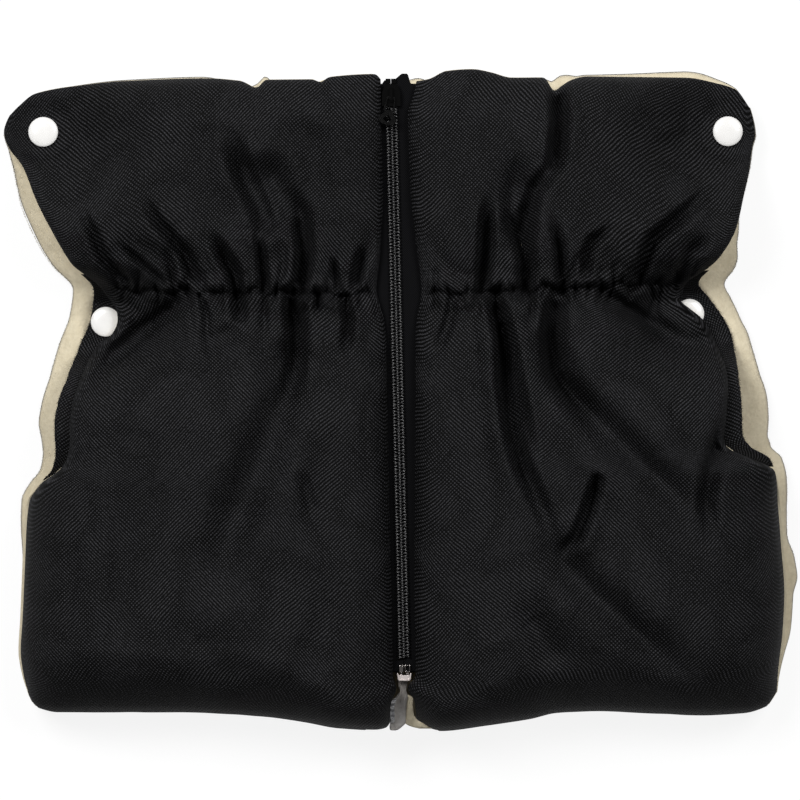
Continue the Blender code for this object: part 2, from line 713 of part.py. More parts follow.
def make_elastic(half, pad_top, hinge):
    """Flat elastic in the groove across the wadding, under the shell."""
    rows = [k for k, row in enumerate(half.rows()) if half.at_waist(row)]
    ends = slice(1, len(pad_top[0]) - 1)
    trim = CLEARANCE / (2 * CASING_HALF)
    low_line, high_line = pad_top[rows[0]][ends], pad_top[rows[1]][ends]
    grids = []
    for raised in (ELASTIC_SEAT + ELASTIC_THICKNESS, ELASTIC_SEAT):
        grid = []
        for share in (trim, 1.0 - trim):
            grid.append([tuple(mix(a, b, share) + (raised if axis == 2 else 0.0)
                               for axis, (a, b) in enumerate(zip(p, q)))
                         for p, q in zip(low_line, high_line)])
        grids.append(grid)
    points, faces = slab(*grids)
    add_piece("front_elastic_" + half.name, WHITE_ELASTIC, points, faces, parent=hinge)


def make_facing(half, hinge):
    """Flat black facing that edges the hand opening and carries the lower snap."""
    snap_low = half.lower_snap[1] - SNAP_SEAT / 2
    rows = [row for row in half.rows() if HAND_OPENING_LOW < row[0] < snap_low + SNAP_SEAT + 1.0]
    grids = []
    for drop in (CLEARANCE, CLEARANCE + FACING_THICKNESS):
        grid = []
        for row in rows:
            reveal = curve_value(half.reveal, row[0])
            z = curve_value(half.edge_level, row[0]) - drop
            places = [plan_point(half, row, (None, inset, None)) for inset in (-reveal, 0.0, FACING_UNDERLAP)]
            grid.append([to_frame(half.side * place[0], place[1], z) for place in places])
        grids.append(grid)
    points, faces = slab(*grids)
    return add_piece("opening_facing_" + half.name, BLACK_CLOTH, points, faces, parent=hinge)


def back_columns():
    """Back column lines as insets from the left or right edge, or shares of the width between."""
    left = [("left", inset) for inset in BACK_SIDE_INSETS]
    middle = [("middle", k / 8.0) for k in range(1, 8)]
    right = [("right", inset) for inset in BACK_SIDE_INSETS[::-1]]
    return left + middle + right


def back_rows(left, right):
    """Back row lines as (left rise, right rise, inset from lower edge, inset from top edge)."""
    lines = [(left.low_corner + e, right.low_corner + e, e, FAR) for e in BACK_LOWER_INSETS]
    snap_low = left.lower_snap[1] - SNAP_SEAT / 2
    for share in (0.17, 0.33, 0.49, 0.65, 0.82):
        rise = mix(left.low_corner, snap_low, share)
        lines.append((rise, rise, rise - left.low_corner, FAR))
    for offset in (-SNAP_SEAT / 2, SNAP_SEAT / 2):
        lines.append((left.lower_snap[1] + offset, right.lower_snap[1] + offset, FAR, FAR))
    for offset in (-CASING_HALF, CASING_HALF):
        lines.append((left.waist + offset, right.waist + offset, FAR, FAR))
    cuff_inset = 2 * TOP_INSETS[0]
    lines.append((BAR_OPENING_HIGH, BAR_OPENING_HIGH + 4.0, FAR, cuff_inset))
    lines += [(left.high_corner - e, right.high_corner - e, FAR, e) for e in TOP_INSETS]
    return lines


def back_edge_curve(left, right, x, lower):
    """Rise of the back's top or lower edge at x."""
    half = left if x < 0 else right
    return curve_value(half.lower if lower else half.top, abs(x))


def back_surface(left, right, top, depth, groove=0.0):
    """Grid of the back's underside (top False) or of its lining face (top True)."""
    grid = []
    for row in back_rows(left, right):
        left_rise, right_rise, from_lower, from_top = row
        left_x = -curve_value(left.edge, left_rise) - curve_value(left.margin, left_rise)
        right_x = curve_value(right.edge, right_rise) + curve_value(right.margin, right_rise)
        line = []
        for kind, value in back_columns():
            x = mix(left_x + BACK_SIDE_INSET, right_x - BACK_SIDE_INSET, value)
            if kind == "left":
                x = left_x + value
            if kind == "right":
                x = right_x - value
            along = (x - left_x) / (right_x - left_x)
            rise = mix(left_rise, right_rise, along)
            low_share = clamp(1.0 - from_lower / 140.0) if from_lower < FAR else 0.0
            top_share = clamp(1.0 - max(from_top - TOP_INSETS[0], 0.0) / 60.0) if from_top < FAR else 0.0
            low_line = mix(left.low_corner, right.low_corner, along)
            top_line = mix(left.high_corner, right.high_corner, along)
            rise += low_share * (back_edge_curve(left, right, x, True) - low_line)
            rise += top_share * (back_edge_curve(left, right, x, False) - top_line)
            from_side = min(x - left_x, right_x - x)
            ease = round_off(from_side, BACK_SIDE_ROUND) * round_off(from_top, BACK_TOP_ROUND)
            fold = round_off(from_lower, BACK_FOLD_ROUND)
            seat = kind != "middle" and value in BACK_SIDE_INSETS[1:] and is_seat_row(left, row)
            if top:
                thinning = ((0.0, BACK_THICKNESS), (BACK_THINNING, BACK_EDGE_TOP))
                edge_top = curve_value(thinning, from_lower)
                z = mix(edge_top, BACK_THICKNESS, ease)
                z = (BACK_SNAP_TOP if seat else z) - depth
            else:
                z = mix(BACK_EDGE_LIFT, 0.0, ease) if fold == 1.0 else mix(FOLD_EDGE_LIFT, 0.0, fold)
                z = (POST_RECESS if seat else z) + depth
            if left.at_waist(row):
                z += groove
            line.append(to_frame(x, rise, z))
        grid.append(line)
    return grid


def is_seat_row(left, row):
    on_lower = abs(abs(row[0] - left.lower_snap[1]) - SNAP_SEAT / 2) < 0.01
    return on_lower or row[3] in TOP_INSETS[:3]


def make_back_quilt(left, right):
    """Outer shell, wadding, fleece lining and waist elastic of the back panel."""
    below_shell = SHELL_THICKNESS + WADDING_CLEARANCE
    above_lining = LINING_THICKNESS + WADDING_CLEARANCE
    outer = back_surface(left, right, False, 0.0)
    inner = draw_in(back_surface(left, right, False, SHELL_THICKNESS), SHELL_THICKNESS)
    rim = back_surface(left, right, True, above_lining)
    lip = levels(draw_in(rim, SHELL_THICKNESS))
    shell = add_piece("back_shell", BLACK_CLOTH, *tray(outer, inner, levels(rim), lip))
    pad_low = draw_in(back_surface(left, right, False, below_shell, GROOVE_DEPTH), below_shell, CLEARANCE)
    pad_top = draw_in(rim, below_shell, -CLEARANCE)
    padding = add_piece("back_padding", WHITE_WADDING, *slab(pad_top, pad_low))
    fleece_low = back_surface(left, right, True, LINING_THICKNESS)
    fleece_top = back_surface(left, right, True, 0.0)
    lining = add_piece("back_lining", CREAM_FLEECE, *slab(fleece_top, fleece_low))
    rows = [k for k, row in enumerate(back_rows(left, right)) if left.at_waist(row)]
    trim = CLEARANCE / (2 * CASING_HALF)
    grids = []
    for drop in (ELASTIC_SEAT, ELASTIC_SEAT + ELASTIC_THICKNESS):
        grid = []
        for share in (trim, 1.0 - trim):
            grid.append([tuple(mix(a, b, share) - (drop if axis == 2 else 0.0)
                               for axis, (a, b) in enumerate(zip(p, q)))
                         for p, q in zip(pad_low[rows[0]][1:-1], pad_low[rows[1]][1:-1])])
        grids.append(grid)
    add_piece("back_elastic", WHITE_ELASTIC, *slab(*grids))
    return shell, padding, lining


def turned(profile, centre, sides):
    """Solid turned round a vertical axis from (radius, height) points, first and last on the axis."""
    cx, cy = centre
    points = [(cx, cy, profile[0][1])]
    rings = profile[1:-1]
    for radius, z in rings:
        for k in range(sides):
            angle = 2.0 * math.pi * k / sides
            points.append((cx + radius * math.cos(angle), cy + radius * math.sin(angle), z))
    points.append((cx, cy, profile[-1][1]))
    last = len(points) - 1
    faces = []
    for k in range(sides):
        after = (k + 1) % sides
        faces.append((0, 1 + after, 1 + k))
        for ring in range(len(rings) - 1):
            a, b = 1 + ring * sides, 1 + (ring + 1) * sides
            faces.append((a + k, a + after, b + after, b + k))
        top = 1 + (len(rings) - 1) * sides
        faces.append((top + k, top + after, last))
    return points, faces


def snap_centre(half, snap):
    x, y, _ = to_frame(half.side * snap[0], snap[1], 0.0)
    return x, y


def make_snap(half, place, snap, cap_base, hinge):
    """One snap: cap and socket on the front, stud and post on the back."""
    centre = snap_centre(half, snap)
    label = place + "_" + half.name
    cap, shank = CAP_DIAMETER / 2, SHANK_DIAMETER / 2
    low = SOCKET_TOP + CLEARANCE
    rim = cap_base + 0.35 * CAP_HEIGHT
    profile = [(0.0, low), (shank, low), (shank, cap_base), (cap - 0.5, cap_base), (cap, rim)]
    crest = cap_base + CAP_HEIGHT
    profile += [(0.86 * cap, cap_base + 0.80 * CAP_HEIGHT), (0.5 * cap, crest), (0.0, crest)]
    add_piece("snap_cap_" + label, PEARL_CAP, *turned(profile, centre, 20), parent=hinge)
    bore = STUD_HEAD_DIAMETER / 2 + CLEARANCE
    roof = STUD_SHOULDER + STUD_HEAD_HEIGHT + CLEARANCE
    socket = SOCKET_DIAMETER / 2
    profile = [(0.0, roof), (bore, roof), (bore, SOCKET_BOTTOM), (socket - 0.8, SOCKET_BOTTOM)]
    profile += [(socket, SOCKET_BOTTOM + 0.8), (socket, SOCKET_TOP), (0.0, SOCKET_TOP)]
    add_piece("snap_socket_" + label, BRIGHT_METAL, *turned(profile, centre, 12), parent=hinge)
    base, head = STUD_BASE_DIAMETER / 2, STUD_HEAD_DIAMETER / 2
    head_top = STUD_SHOULDER + STUD_HEAD_HEIGHT
    profile = [(0.0, STUD_BOTTOM), (base, STUD_BOTTOM), (base, STUD_SHOULDER), (head - 0.5, STUD_SHOULDER)]
    profile += [(head, head_top - 0.8), (head - 0.6, head_top), (0.0, head_top)]
    add_piece("snap_stud_" + label, BRIGHT_METAL, *turned(profile, centre, 12))
    post = POST_DIAMETER / 2
    face = POST_RECESS - CLEARANCE
    profile = [(0.0, face - POST_HEIGHT), (post - 0.6, face - POST_HEIGHT), (post, face - 0.5 * POST_HEIGHT)]
    shank_top = STUD_BOTTOM - CLEARANCE
    profile += [(post - 0.3, face), (shank, face), (shank, shank_top), (0.0, shank_top)]
    add_piece("snap_post_" + label, BRIGHT_METAL, *turned(profile, centre, 12))


def make_cutter(name, centre):
    """Guide cylinder for the hole that a snap's shank passes through."""
    radius = SHANK_DIAMETER / 2 + CLEARANCE
    points, faces = turned([(0.0, -5.0), (radius, -5.0), (radius, 60.0), (0.0, 60.0)], centre, 12)
    cutter = add_piece(name, BRIGHT_METAL, points, faces)
    cutter.hide_render = True
    cutter.display_type = "WIRE"
    return cutter


def cut_hole(piece, cutter):
    cut = piece.modifiers.new("Snap hole", "BOOLEAN")
    cut.operation = "DIFFERENCE"
    cut.solver = "EXACT"
    cut.object = cutter


def prism(outline, low, high):
    """Upright prism over an outline of (x, rise) points."""
    count = len(outline)
    points = [to_frame(x, rise, z) for z in (low, high) for x, rise in outline]
    faces = [tuple(range(count)), tuple(range(2 * count - 1, count - 1, -1))]
    for k in range(count):
        after = (k + 1) % count
        faces.append((k, after, count + after, count + k))
    return points, faces


def along_zip(side, offset, rise):
    """Point at a distance from the zip's centre line, on one side of it."""
    return (zip_x(rise) + side * offset, rise)


def zip_bar(side, near, far, low_rise, high_rise):
    return [along_zip(side, near, low_rise), along_zip(side, far, low_rise),
            along_zip(side, far, high_rise), along_zip(side, near, high_rise)]


def make_zip_side(half, hinge):
    """Woven tape, toothed coil and top stop of one side of the zip."""
    side = half.side
    tape_end = ZIP_END_RISE + (TAPE_OVER_END_LEFT if side < 0 else TAPE_OVER_END_RIGHT)
    tape = zip_bar(side, TAPE_INNER, TAPE_OUTER, TAPE_LOW_RISE, tape_end)
    points, faces = prism(tape, TAPE_TOP - TAPE_THICKNESS, TAPE_TOP)
    add_piece("zip_tape_" + half.name, BLACK_TAPE, points, faces, parent=hinge)
    teeth = int((COIL_HIGH_RISE - COIL_LOW_RISE) / COIL_PITCH)
    start = COIL_LOW_RISE + (0.0 if side < 0 else COIL_PITCH / 2)
    outline = [along_zip(side, COIL_BACK, start + teeth * COIL_PITCH), along_zip(side, COIL_BACK, start)]
    for k in range(teeth):
        outline.append(along_zip(side, COIL_VALLEY, start + k * COIL_PITCH))
        outline.append(along_zip(side, -COIL_TIP, start + (k + 0.5) * COIL_PITCH))
    outline.append(along_zip(side, COIL_VALLEY, start + teeth * COIL_PITCH))
    points, faces = prism(outline, COIL_BOTTOM, COIL_TOP)
    add_piece("zip_coil_" + half.name, BLACK_NYLON, points, faces, parent=hinge, smooth=False)
    make_top_stop(half, hinge)


def make_top_stop(half, hinge):
    """Metal clip bent round the inner edge of the tape, just above the slider."""
    low_rise = SLIDER_RISE + SLIDER_LENGTH / 2 + CLEARANCE
    tape_low = TAPE_TOP - TAPE_THICKNESS - CLEARANCE
    tape_high = TAPE_TOP + CLEARANCE
    inner = TAPE_INNER - CLEARANCE
    under, over = tape_low - STOP_UNDER, tape_high + STOP_OVER
    profile = [(STOP_INNER, under), (STOP_REACH, under), (STOP_REACH, tape_low), (inner, tape_low)]
    profile += [(inner, tape_high), (STOP_REACH, tape_high), (STOP_REACH, over), (STOP_INNER, over)]
    points = []
    for rise in (low_rise, low_rise + STOP_LENGTH):
        for offset, z in profile:
            x, _ = along_zip(half.side, offset, rise)
            points.append(to_frame(x, rise, z))
    count = len(profile)
    faces = [tuple(range(count)), tuple(range(2 * count - 1, count - 1, -1))]
    for k in range(count):
        after = (k + 1) % count
        faces.append((k, after, count + after, count + k))
    add_piece("zip_top_stop_" + half.name, BLACK_PAINT, points, faces, parent=hinge, smooth=False)


def make_zip_end(hinge_left, hinge_right):
    """Box and its pin on the left tape, and the insertion pin on the right tape."""
    low = TAPE_LOW_RISE - CLEARANCE - BOX_LENGTH
    high = TAPE_LOW_RISE - CLEARANCE
    pin_low = low + BOX_WALL + CLEARANCE
    pin_outer = PIN_INNER + PIN_WIDTH
    pin_bottom, pin_top = COIL_BOTTOM, COIL_BOTTOM + PIN_THICKNESS
    pin_high = pin_low + PIN_LENGTH
    for name, side, hinge in (("zip_retainer_pin", -1, hinge_left), ("zip_insertion_pin", 1, hinge_right)):
        outline = zip_bar(side, PIN_INNER, pin_outer, pin_low, pin_high)
        add_piece(name, BRIGHT_METAL, *prism(outline, pin_bottom, pin_top), parent=hinge, smooth=False)
    hollow = pin_outer + CLEARANCE
    wide = hollow + BOX_WALL
    outline = [
        along_zip(-1, wide, low), along_zip(1, wide, low), along_zip(1, wide + BOX_FLARE, high),
        along_zip(1, hollow, high), along_zip(1, hollow, low + BOX_WALL),
        along_zip(-1, hollow, low + BOX_WALL), along_zip(-1, hollow, high),
        along_zip(-1, wide + BOX_FLARE, high),
    ]
    points, faces = box_with_lids(outline, pin_bottom - CLEARANCE, pin_top + CLEARANCE)
    add_piece("zip_retainer_box", BRIGHT_METAL, points, faces, parent=hinge_left, smooth=False)


def box_with_lids(outline, low, high):
    """U-shaped wall with a plate under and over it, open towards the pins."""
    lid = BOX_WALL
    count = len(outline)
    outer = [outline[k] for k in (0, 1, 2, 3, 6, 7)]
    points = [to_frame(x, rise, low - lid) for x, rise in outer]
    points += [to_frame(x, rise, low) for x, rise in outline]
    points += [to_frame(x, rise, high) for x, rise in outline]
    points += [to_frame(x, rise, high + lid) for x, rise in outer]
    under, floor, roof, over = 0, 6, 6 + count, 6 + 2 * count
    faces = [(0, 1, 2, 3, 4, 5), tuple(over + k for k in (5, 4, 3, 2, 1, 0))]
    faces += [(floor + 3, floor + 4, floor + 5, floor + 6), (roof + 6, roof + 5, roof + 4, roof + 3)]
    sides = ((0, 1), (1, 2), (7, 0))
    index = {0: 0, 1: 1, 2: 2, 3: 3, 6: 4, 7: 5}
    for a, b in sides:
        faces.append((under + index[a], under + index[b], floor + b, floor + a))
        faces.append((floor + a, floor + b, roof + b, roof + a))
        faces.append((roof + a, roof + b, over + index[b], over + index[a]))
    for a, b in ((3, 4), (4, 5), (5, 6)):
        faces.append((floor + a, floor + b, roof + b, roof + a))
    for a, b in ((2, 3), (6, 7)):
        faces.append((floor + a, floor + b, roof + b, roof + a))
    faces.append((under + 2, under + 3, floor + 3, floor + 2))
    faces.append((under + 4, under + 5, floor + 7, floor + 6))
    faces.append((under + 3, under + 4, floor + 6, floor + 3))
    faces.append((roof + 2, roof + 3, over + 3, over + 2))
    faces.append((roof + 6, roof + 7, over + 5, over + 4))
    faces.append((roof + 3, roof + 6, over + 4, over + 3))
    return points, faces


def block(low, high):
    """Points and faces of a straight block between two corners given as (x, rise, z)."""
    (x0, r0, z0), (x1, r1, z1) = low, high
    return prism([(x0, r0), (x1, r0), (x1, r1), (x0, r1)], z0, z1)


def join_solids(name, finish, solids, origin, parent):
    """Union blocks that overlap into one closed body."""
    first = add_piece(name, finish, *solids[0], origin=origin, parent=parent, smooth=False)
    for k, solid in enumerate(solids[1:]):
        guide = name + "_guide_" + str(k)
        helper = add_piece(guide, finish, *solid, origin=origin, parent=parent, smooth=False)
        helper.hide_render = True
        helper.display_type = "WIRE"
        union = first.modifiers.new("Join", "BOOLEAN")
        union.operation = "UNION"
        union.solver = "EXACT"
        union.object = helper


def make_slider(empty, origin):
    """Two plates on a wedge that parts the coils, and the bail that holds the pull."""
    x, rise = along_zip(1, 0.0, SLIDER_RISE)
    half_width, half_length = SLIDER_WIDTH / 2, SLIDER_LENGTH / 2
    low_top = TAPE_TOP - TAPE_THICKNESS - CLEARANCE
    high_bottom = COIL_TOP + CLEARANCE
    top = high_bottom + SLIDER_PLATE
    shoulder = half_width * SLIDER_SHOULDER
    taper = rise + half_length * SLIDER_TAPER_FROM
    plate = [(x - half_width, rise - half_length), (x + half_width, rise - half_length),
             (x + half_width, taper), (x + shoulder, rise + half_length),
             (x - shoulder, rise + half_length), (x - half_width, taper)]
    solids = [prism(plate, high_bottom, top), prism(plate, low_top - SLIDER_PLATE, low_top)]
    wedge_high = rise + half_length - CLEARANCE
    wedge = ((x - WEDGE_WIDTH / 2, wedge_high - WEDGE_LENGTH, low_top - JOIN_OVERLAP),
             (x + WEDGE_WIDTH / 2, wedge_high, high_bottom + JOIN_OVERLAP))
    solids.append(block(*wedge))
    for side in (-1, 1):
        near, far = x + side * (half_width - SLIDER_WALL), x + side * half_width
        low_corner = (min(near, far), rise - half_length, TAPE_TOP + CLEARANCE + 0.1)
        solids.append(block(low_corner, (max(near, far), rise, high_bottom + JOIN_OVERLAP)))
    join_solids("zip_slider", BLACK_PAINT, solids, origin, empty)
    foot = top + CLEARANCE / 2
    under = foot + BAIL_CLEAR
    leg = BAIL_THICKNESS
    profile = [(-BAIL_LENGTH / 2, foot), (-BAIL_LENGTH / 2 + leg, foot), (-BAIL_LENGTH / 2 + leg, under),
               (BAIL_LENGTH / 2 - leg, under), (BAIL_LENGTH / 2 - leg, foot), (BAIL_LENGTH / 2, foot),
               (BAIL_LENGTH / 2, under + 0.4 * leg), (BAIL_LENGTH / 2 - leg, under + leg),
               (-BAIL_LENGTH / 2 + leg, under + leg), (-BAIL_LENGTH / 2, under + 0.4 * leg)]
    points = [to_frame(x + edge * BAIL_WIDTH / 2, rise + y, z) for edge in (-1, 1) for y, z in profile]
    count = len(profile)
    faces = [tuple(range(count)), tuple(range(2 * count - 1, count - 1, -1))]
    for k in range(count):
        after = (k + 1) % count
        faces.append((k, after, count + after, count + k))
    add_piece("slider_bail", BLACK_PAINT, points, faces, origin=origin, parent=empty, smooth=False)


def pull_axis():
    """Place of the pull's end bar under the bail, as x, rise and height."""
    x, rise = along_zip(1, 0.0, SLIDER_RISE)
    bar_rise = rise - BAIL_LENGTH / 2 + BAIL_THICKNESS + 0.4 + PULL_BAR / 2
    z = COIL_TOP + CLEARANCE + SLIDER_PLATE + CLEARANCE / 2 + BAIL_CLEAR / 2
    return x, bar_rise, z


def make_pull(empty, origin):
    """Flat pull: an end bar under the bail, a window that clears it and a kite-shaped tip."""
    x, bar_rise, z = pull_axis()
    low, high = z - PULL_THICKNESS / 2, z + PULL_THICKNESS / 2
    inner, outer = PULL_WINDOW_WIDTH / 2, PULL_WINDOW_WIDTH / 2 + PULL_RAIL
    top = PULL_BAR / 2
    window_low = -top - PULL_WINDOW
    neck = window_low - 1.0
    tip_mid = neck - 0.55 * PULL_TIP_LENGTH
    tip_low = neck - PULL_TIP_LENGTH
    wide = PULL_TIP_WIDTH / 2
    outline = [(-outer * 0.8, top), (outer * 0.8, top), (outer * 1.15, window_low), (outer * 0.7, neck),
               (wide, tip_mid), (wide * 0.72, tip_low + 0.8), (0.0, tip_low), (-wide * 0.72, tip_low + 0.8),
               (-wide, tip_mid), (-outer * 0.7, neck), (-outer * 1.15, window_low)]
    window = [(-inner, -top), (inner, -top), (inner * 1.1, window_low), (-inner * 1.1, window_low)]
    hole_wide = wide * 0.5
    hole = [(0.0, neck - 1.2), (hole_wide, tip_mid - 0.1), (0.0, tip_low + 1.4), (-hole_wide, tip_mid - 0.1)]
    tilt = math.radians(-PULL_TILT_DEG)
    slope = math.tan(math.radians(PULL_RISE_DEG))

    def plate(shape, bottom, top_face):
        """The shape as a plate that leans sideways and rises a little towards the tip."""
        turned_shape = [(x + px * math.cos(tilt) - py * math.sin(tilt),
                         bar_rise + px * math.sin(tilt) + py * math.cos(tilt)) for px, py in shape]
        points, faces = prism(turned_shape, bottom, top_face)
        centre = bar_rise - CENTRE_RISE
        return [(px, py, pz + (centre - py) * slope) for px, py, pz in points], faces

    points, faces = plate(outline, low, high)
    pull = add_piece("slider_pull", BLACK_PAINT, points, faces, origin=origin, parent=empty, smooth=False)
    for name, shape in (("pull_window_guide", window), ("pull_tip_guide", hole)):
        points, faces = plate(shape, low - 1.0, high + 1.0)
        cutter = add_piece(name, BLACK_PAINT, points, faces, origin=origin, parent=empty)
        cutter.hide_render = True
        cutter.display_type = "WIRE"
        cut_hole(pull, cutter)


def main():
    clear_scene()
    left, right = Half(-1), Half(1)
    hinge_place = to_frame(0.0, -HINGE_CLEARANCE, BACK_THICKNESS + CLEARANCE / 2)
    hinges = {half.name: add_joint_empty("fold_hinge_" + half.name, hinge_place) for half in (left, right)}
    back_layers = make_back_quilt(left, right)
    for half in (left, right):
        hinge = hinges[half.name]
        front_layers = make_front_quilt(half, hinge)
        facing = make_facing(half, hinge)
        make_snap(half, "upper", half.upper_snap, SNAP_UNDERSIDE + PINCHED_THICKNESS + CLEARANCE, hinge)
        make_snap(half, "lower", half.lower_snap, FACING_SNAP_TOP + CLEARANCE, hinge)
        upper_cutter = make_cutter("upper_snap_guide_" + half.name, snap_centre(half, half.upper_snap))
        lower_cutter = make_cutter("lower_snap_guide_" + half.name, snap_centre(half, half.lower_snap))
        for piece in front_layers:
            cut_hole(piece, upper_cutter)
        cut_hole(facing, lower_cutter)
        for piece in back_layers:
            cut_hole(piece, upper_cutter)
            cut_hole(piece, lower_cutter)
        make_zip_side(half, hinge)
    make_zip_end(hinges["left"], hinges["right"])
    slider_x, slider_rise = along_zip(1, 0.0, SLIDER_RISE)
    slider_place = to_frame(slider_x, slider_rise, COIL_TOP)
    slider = add_joint_empty("zip_slide", slider_place, hinges["left"])
    make_slider(slider, slider_place)
    pull_place = to_frame(*pull_axis())
    pull = add_joint_empty("pull_hinge", pull_place, slider)
    make_pull(pull, pull_place)


main()
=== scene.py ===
"""The stroller hand muff dressed in cloth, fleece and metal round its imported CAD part.

Lengths are in millimetres until a mesh is made. "Rise" is the height above the lower edge of the flat
muff and "reach" the distance from its centre line, as in the part's own source.
"""

import math

import bmesh
import bpy
import numpy as np
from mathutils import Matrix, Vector


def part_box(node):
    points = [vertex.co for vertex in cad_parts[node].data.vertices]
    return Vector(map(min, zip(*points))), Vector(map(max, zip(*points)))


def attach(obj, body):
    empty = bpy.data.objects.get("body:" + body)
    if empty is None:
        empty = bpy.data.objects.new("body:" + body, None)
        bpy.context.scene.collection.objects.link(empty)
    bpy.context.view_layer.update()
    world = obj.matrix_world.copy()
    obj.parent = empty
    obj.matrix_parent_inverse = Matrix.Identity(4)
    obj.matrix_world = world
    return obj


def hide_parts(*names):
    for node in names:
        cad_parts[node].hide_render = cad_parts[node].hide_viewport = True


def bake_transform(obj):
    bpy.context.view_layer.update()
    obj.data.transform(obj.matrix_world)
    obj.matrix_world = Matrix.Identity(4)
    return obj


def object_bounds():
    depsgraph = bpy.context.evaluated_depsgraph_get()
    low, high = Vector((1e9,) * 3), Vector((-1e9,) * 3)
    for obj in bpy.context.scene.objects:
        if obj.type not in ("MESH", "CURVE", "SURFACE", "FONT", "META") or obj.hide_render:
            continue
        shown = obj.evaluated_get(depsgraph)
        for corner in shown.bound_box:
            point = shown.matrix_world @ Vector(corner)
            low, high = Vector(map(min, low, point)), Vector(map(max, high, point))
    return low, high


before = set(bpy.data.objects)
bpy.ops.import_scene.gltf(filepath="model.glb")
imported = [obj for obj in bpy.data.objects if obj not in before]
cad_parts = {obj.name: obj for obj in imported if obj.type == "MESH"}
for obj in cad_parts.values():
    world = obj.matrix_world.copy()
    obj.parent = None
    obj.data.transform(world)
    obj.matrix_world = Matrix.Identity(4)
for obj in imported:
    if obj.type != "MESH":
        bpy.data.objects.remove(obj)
cad_low, cad_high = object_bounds()

MM = 0.001
CENTRE_RISE = 165.25
PICTURE_CENTRE = 400.5
PICTURE_BASE = 732.5
MM_PER_PIXEL = 0.5

# Outline of the flat muff: sides as (rise, reach), top and lower edges as (reach, rise)
SIDE = {
    "left": (
        (20, 187), (28.2, 189.2), (40.2, 190.7), (57.2, 189.7), (91.7, 188.2), (103.7, 187.7), (115.7, 186.2),
        (124.7, 180.2), (132.2, 173.7), (140.7, 171.7), (153.7, 172.2), (164.2, 170.7), (179.7, 165.7),
        (194.2, 160.7), (208.7, 155.2), (221.7, 153.7), (233.7, 164.2), (248.2, 173.7), (263.2, 182.2),
        (279.2, 189.2), (290.7, 195.7), (300.7, 199.2), (306.2, 197.7), (309, 196.2),
    ),
    "right": (
        (20, 188.9), (31.7, 189.7), (48.7, 191.7), (70.2, 192.7), (91.7, 191.2), (110.7, 189.7), (127.7, 187.7),
        (137, 184), (143.2, 174), (149.2, 170.2), (164.2, 169.7), (183.2, 168.2), (198.7, 166.2),
        (208.7, 161.2), (218.2, 154.2), (225.2, 149.2), (232.7, 155.7), (243.2, 163.7), (250.2, 167.2),
        (265.7, 171.2), (282.7, 175.2), (293.2, 176.7), (299.2, 178.2), (312.2, 175.7), (313, 175.2),
    ),
}
TOP = {
    "left": (
        (6, 324.7), (8.7, 325.2), (12.7, 328.7), (35.7, 327.2), (39.7, 324.7), (44.2, 326.2), (67.2, 326.2),
        (71.7, 322.2), (79.7, 325.7), (98.7, 327.2), (140.2, 326.2), (161.7, 324.2), (183.2, 320.2),
        (191.7, 313.7), (196.2, 309),
    ),
    "right": (
        (5, 324.7), (14.2, 326.2), (22.7, 330.2), (36.2, 331.2), (45.2, 329.7), (55.2, 327.2), (71.7, 327.4),
        (76.7, 320.7), (80.2, 323.2), (86.2, 326.7), (93.2, 328.2), (142.2, 328.2), (159.2, 325.2),
        (168.2, 322.2), (175.2, 313),
    ),
}
LOWER = {
    "left": (
        (4, 6.5), (7.2, 1.7), (12.7, 0.7), (30.7, 1.7), (48.2, 4.7), (71.2, 7.7), (114.2, 9.7), (171.7, 9.7),
        (181.2, 11.7), (185.7, 16.2), (187, 20),
    ),
    "right": (
        (4, 6.5), (7.2, 6), (14.2, 1.7), (20.2, 0.3), (40.7, 2.7), (64.7, 6.2), (77.7, 9.2), (99.2, 10.2),
        (124.7, 9.2), (150.7, 8.2), (172.2, 9.2), (183.7, 12.7), (188.9, 20),
    ),
}
# How far the padded panel's side edge lies inside the outline, where the flat facing shows
REVEAL = {
    "left": (
        (126, 0), (136, 5.5), (150, 7.5), (180, 7), (186, 7), (192, 8.3), (195, 9.5),
        (198, 13.5), (203, 14.3), (208.8, 13.2), (214, 10.5), (219, 6), (226, 2), (232, 0),
    ),
    "right": (
        (132, 0), (142, 12), (150, 9), (164, 7), (176, 5.6), (184.6, 6), (188.4, 7),
        (195.8, 8.9), (202, 10.2), (206.8, 10.8), (211.5, 13.5), (216.2, 15.5), (221, 10), (229, 2.5),
        (235, 0),
    ),
}
# How far the back panel shows past the front's outline
MARGIN = {
    "left": (
        (20, 0.5), (80, 0.8), (88, 1.6), (99, 2.8), (113, 4), (127, 6.5), (135, 7.6), (146, 8.6),
        (156, 9.8), (164, 9.8), (175, 9.9), (183, 10.4), (203, 11.2), (219, 11), (239, 11),
        (257, 9.3), (276, 5.8), (294, 0.6), (309, 0),
    ),
    "right": (
        (20, 0), (40, 2.6), (52, 4.4), (68, 4.8), (78, 7.2), (88, 6.4), (98, 3.8), (113, 4.8),
        (119, 5.6), (136, 7.5), (147, 14), (158, 15.2), (168, 14.8), (181, 11.8), (204, 8.6),
        (219, 11.8), (227, 14), (234, 12), (246, 4.2), (263, 0.6), (291, 0.6), (313, 0.5),
    ),
}
LOW_CORNER = {"left": 20.0, "right": 20.0}
HIGH_CORNER = {"left": 309.0, "right": 313.0}
WAIST = {"left": 221.0, "right": 225.0}
WAIST_AT_ZIP = 218.5
ZIP_LOW_RISE, ZIP_TOP_RISE = 5.5, 324.7
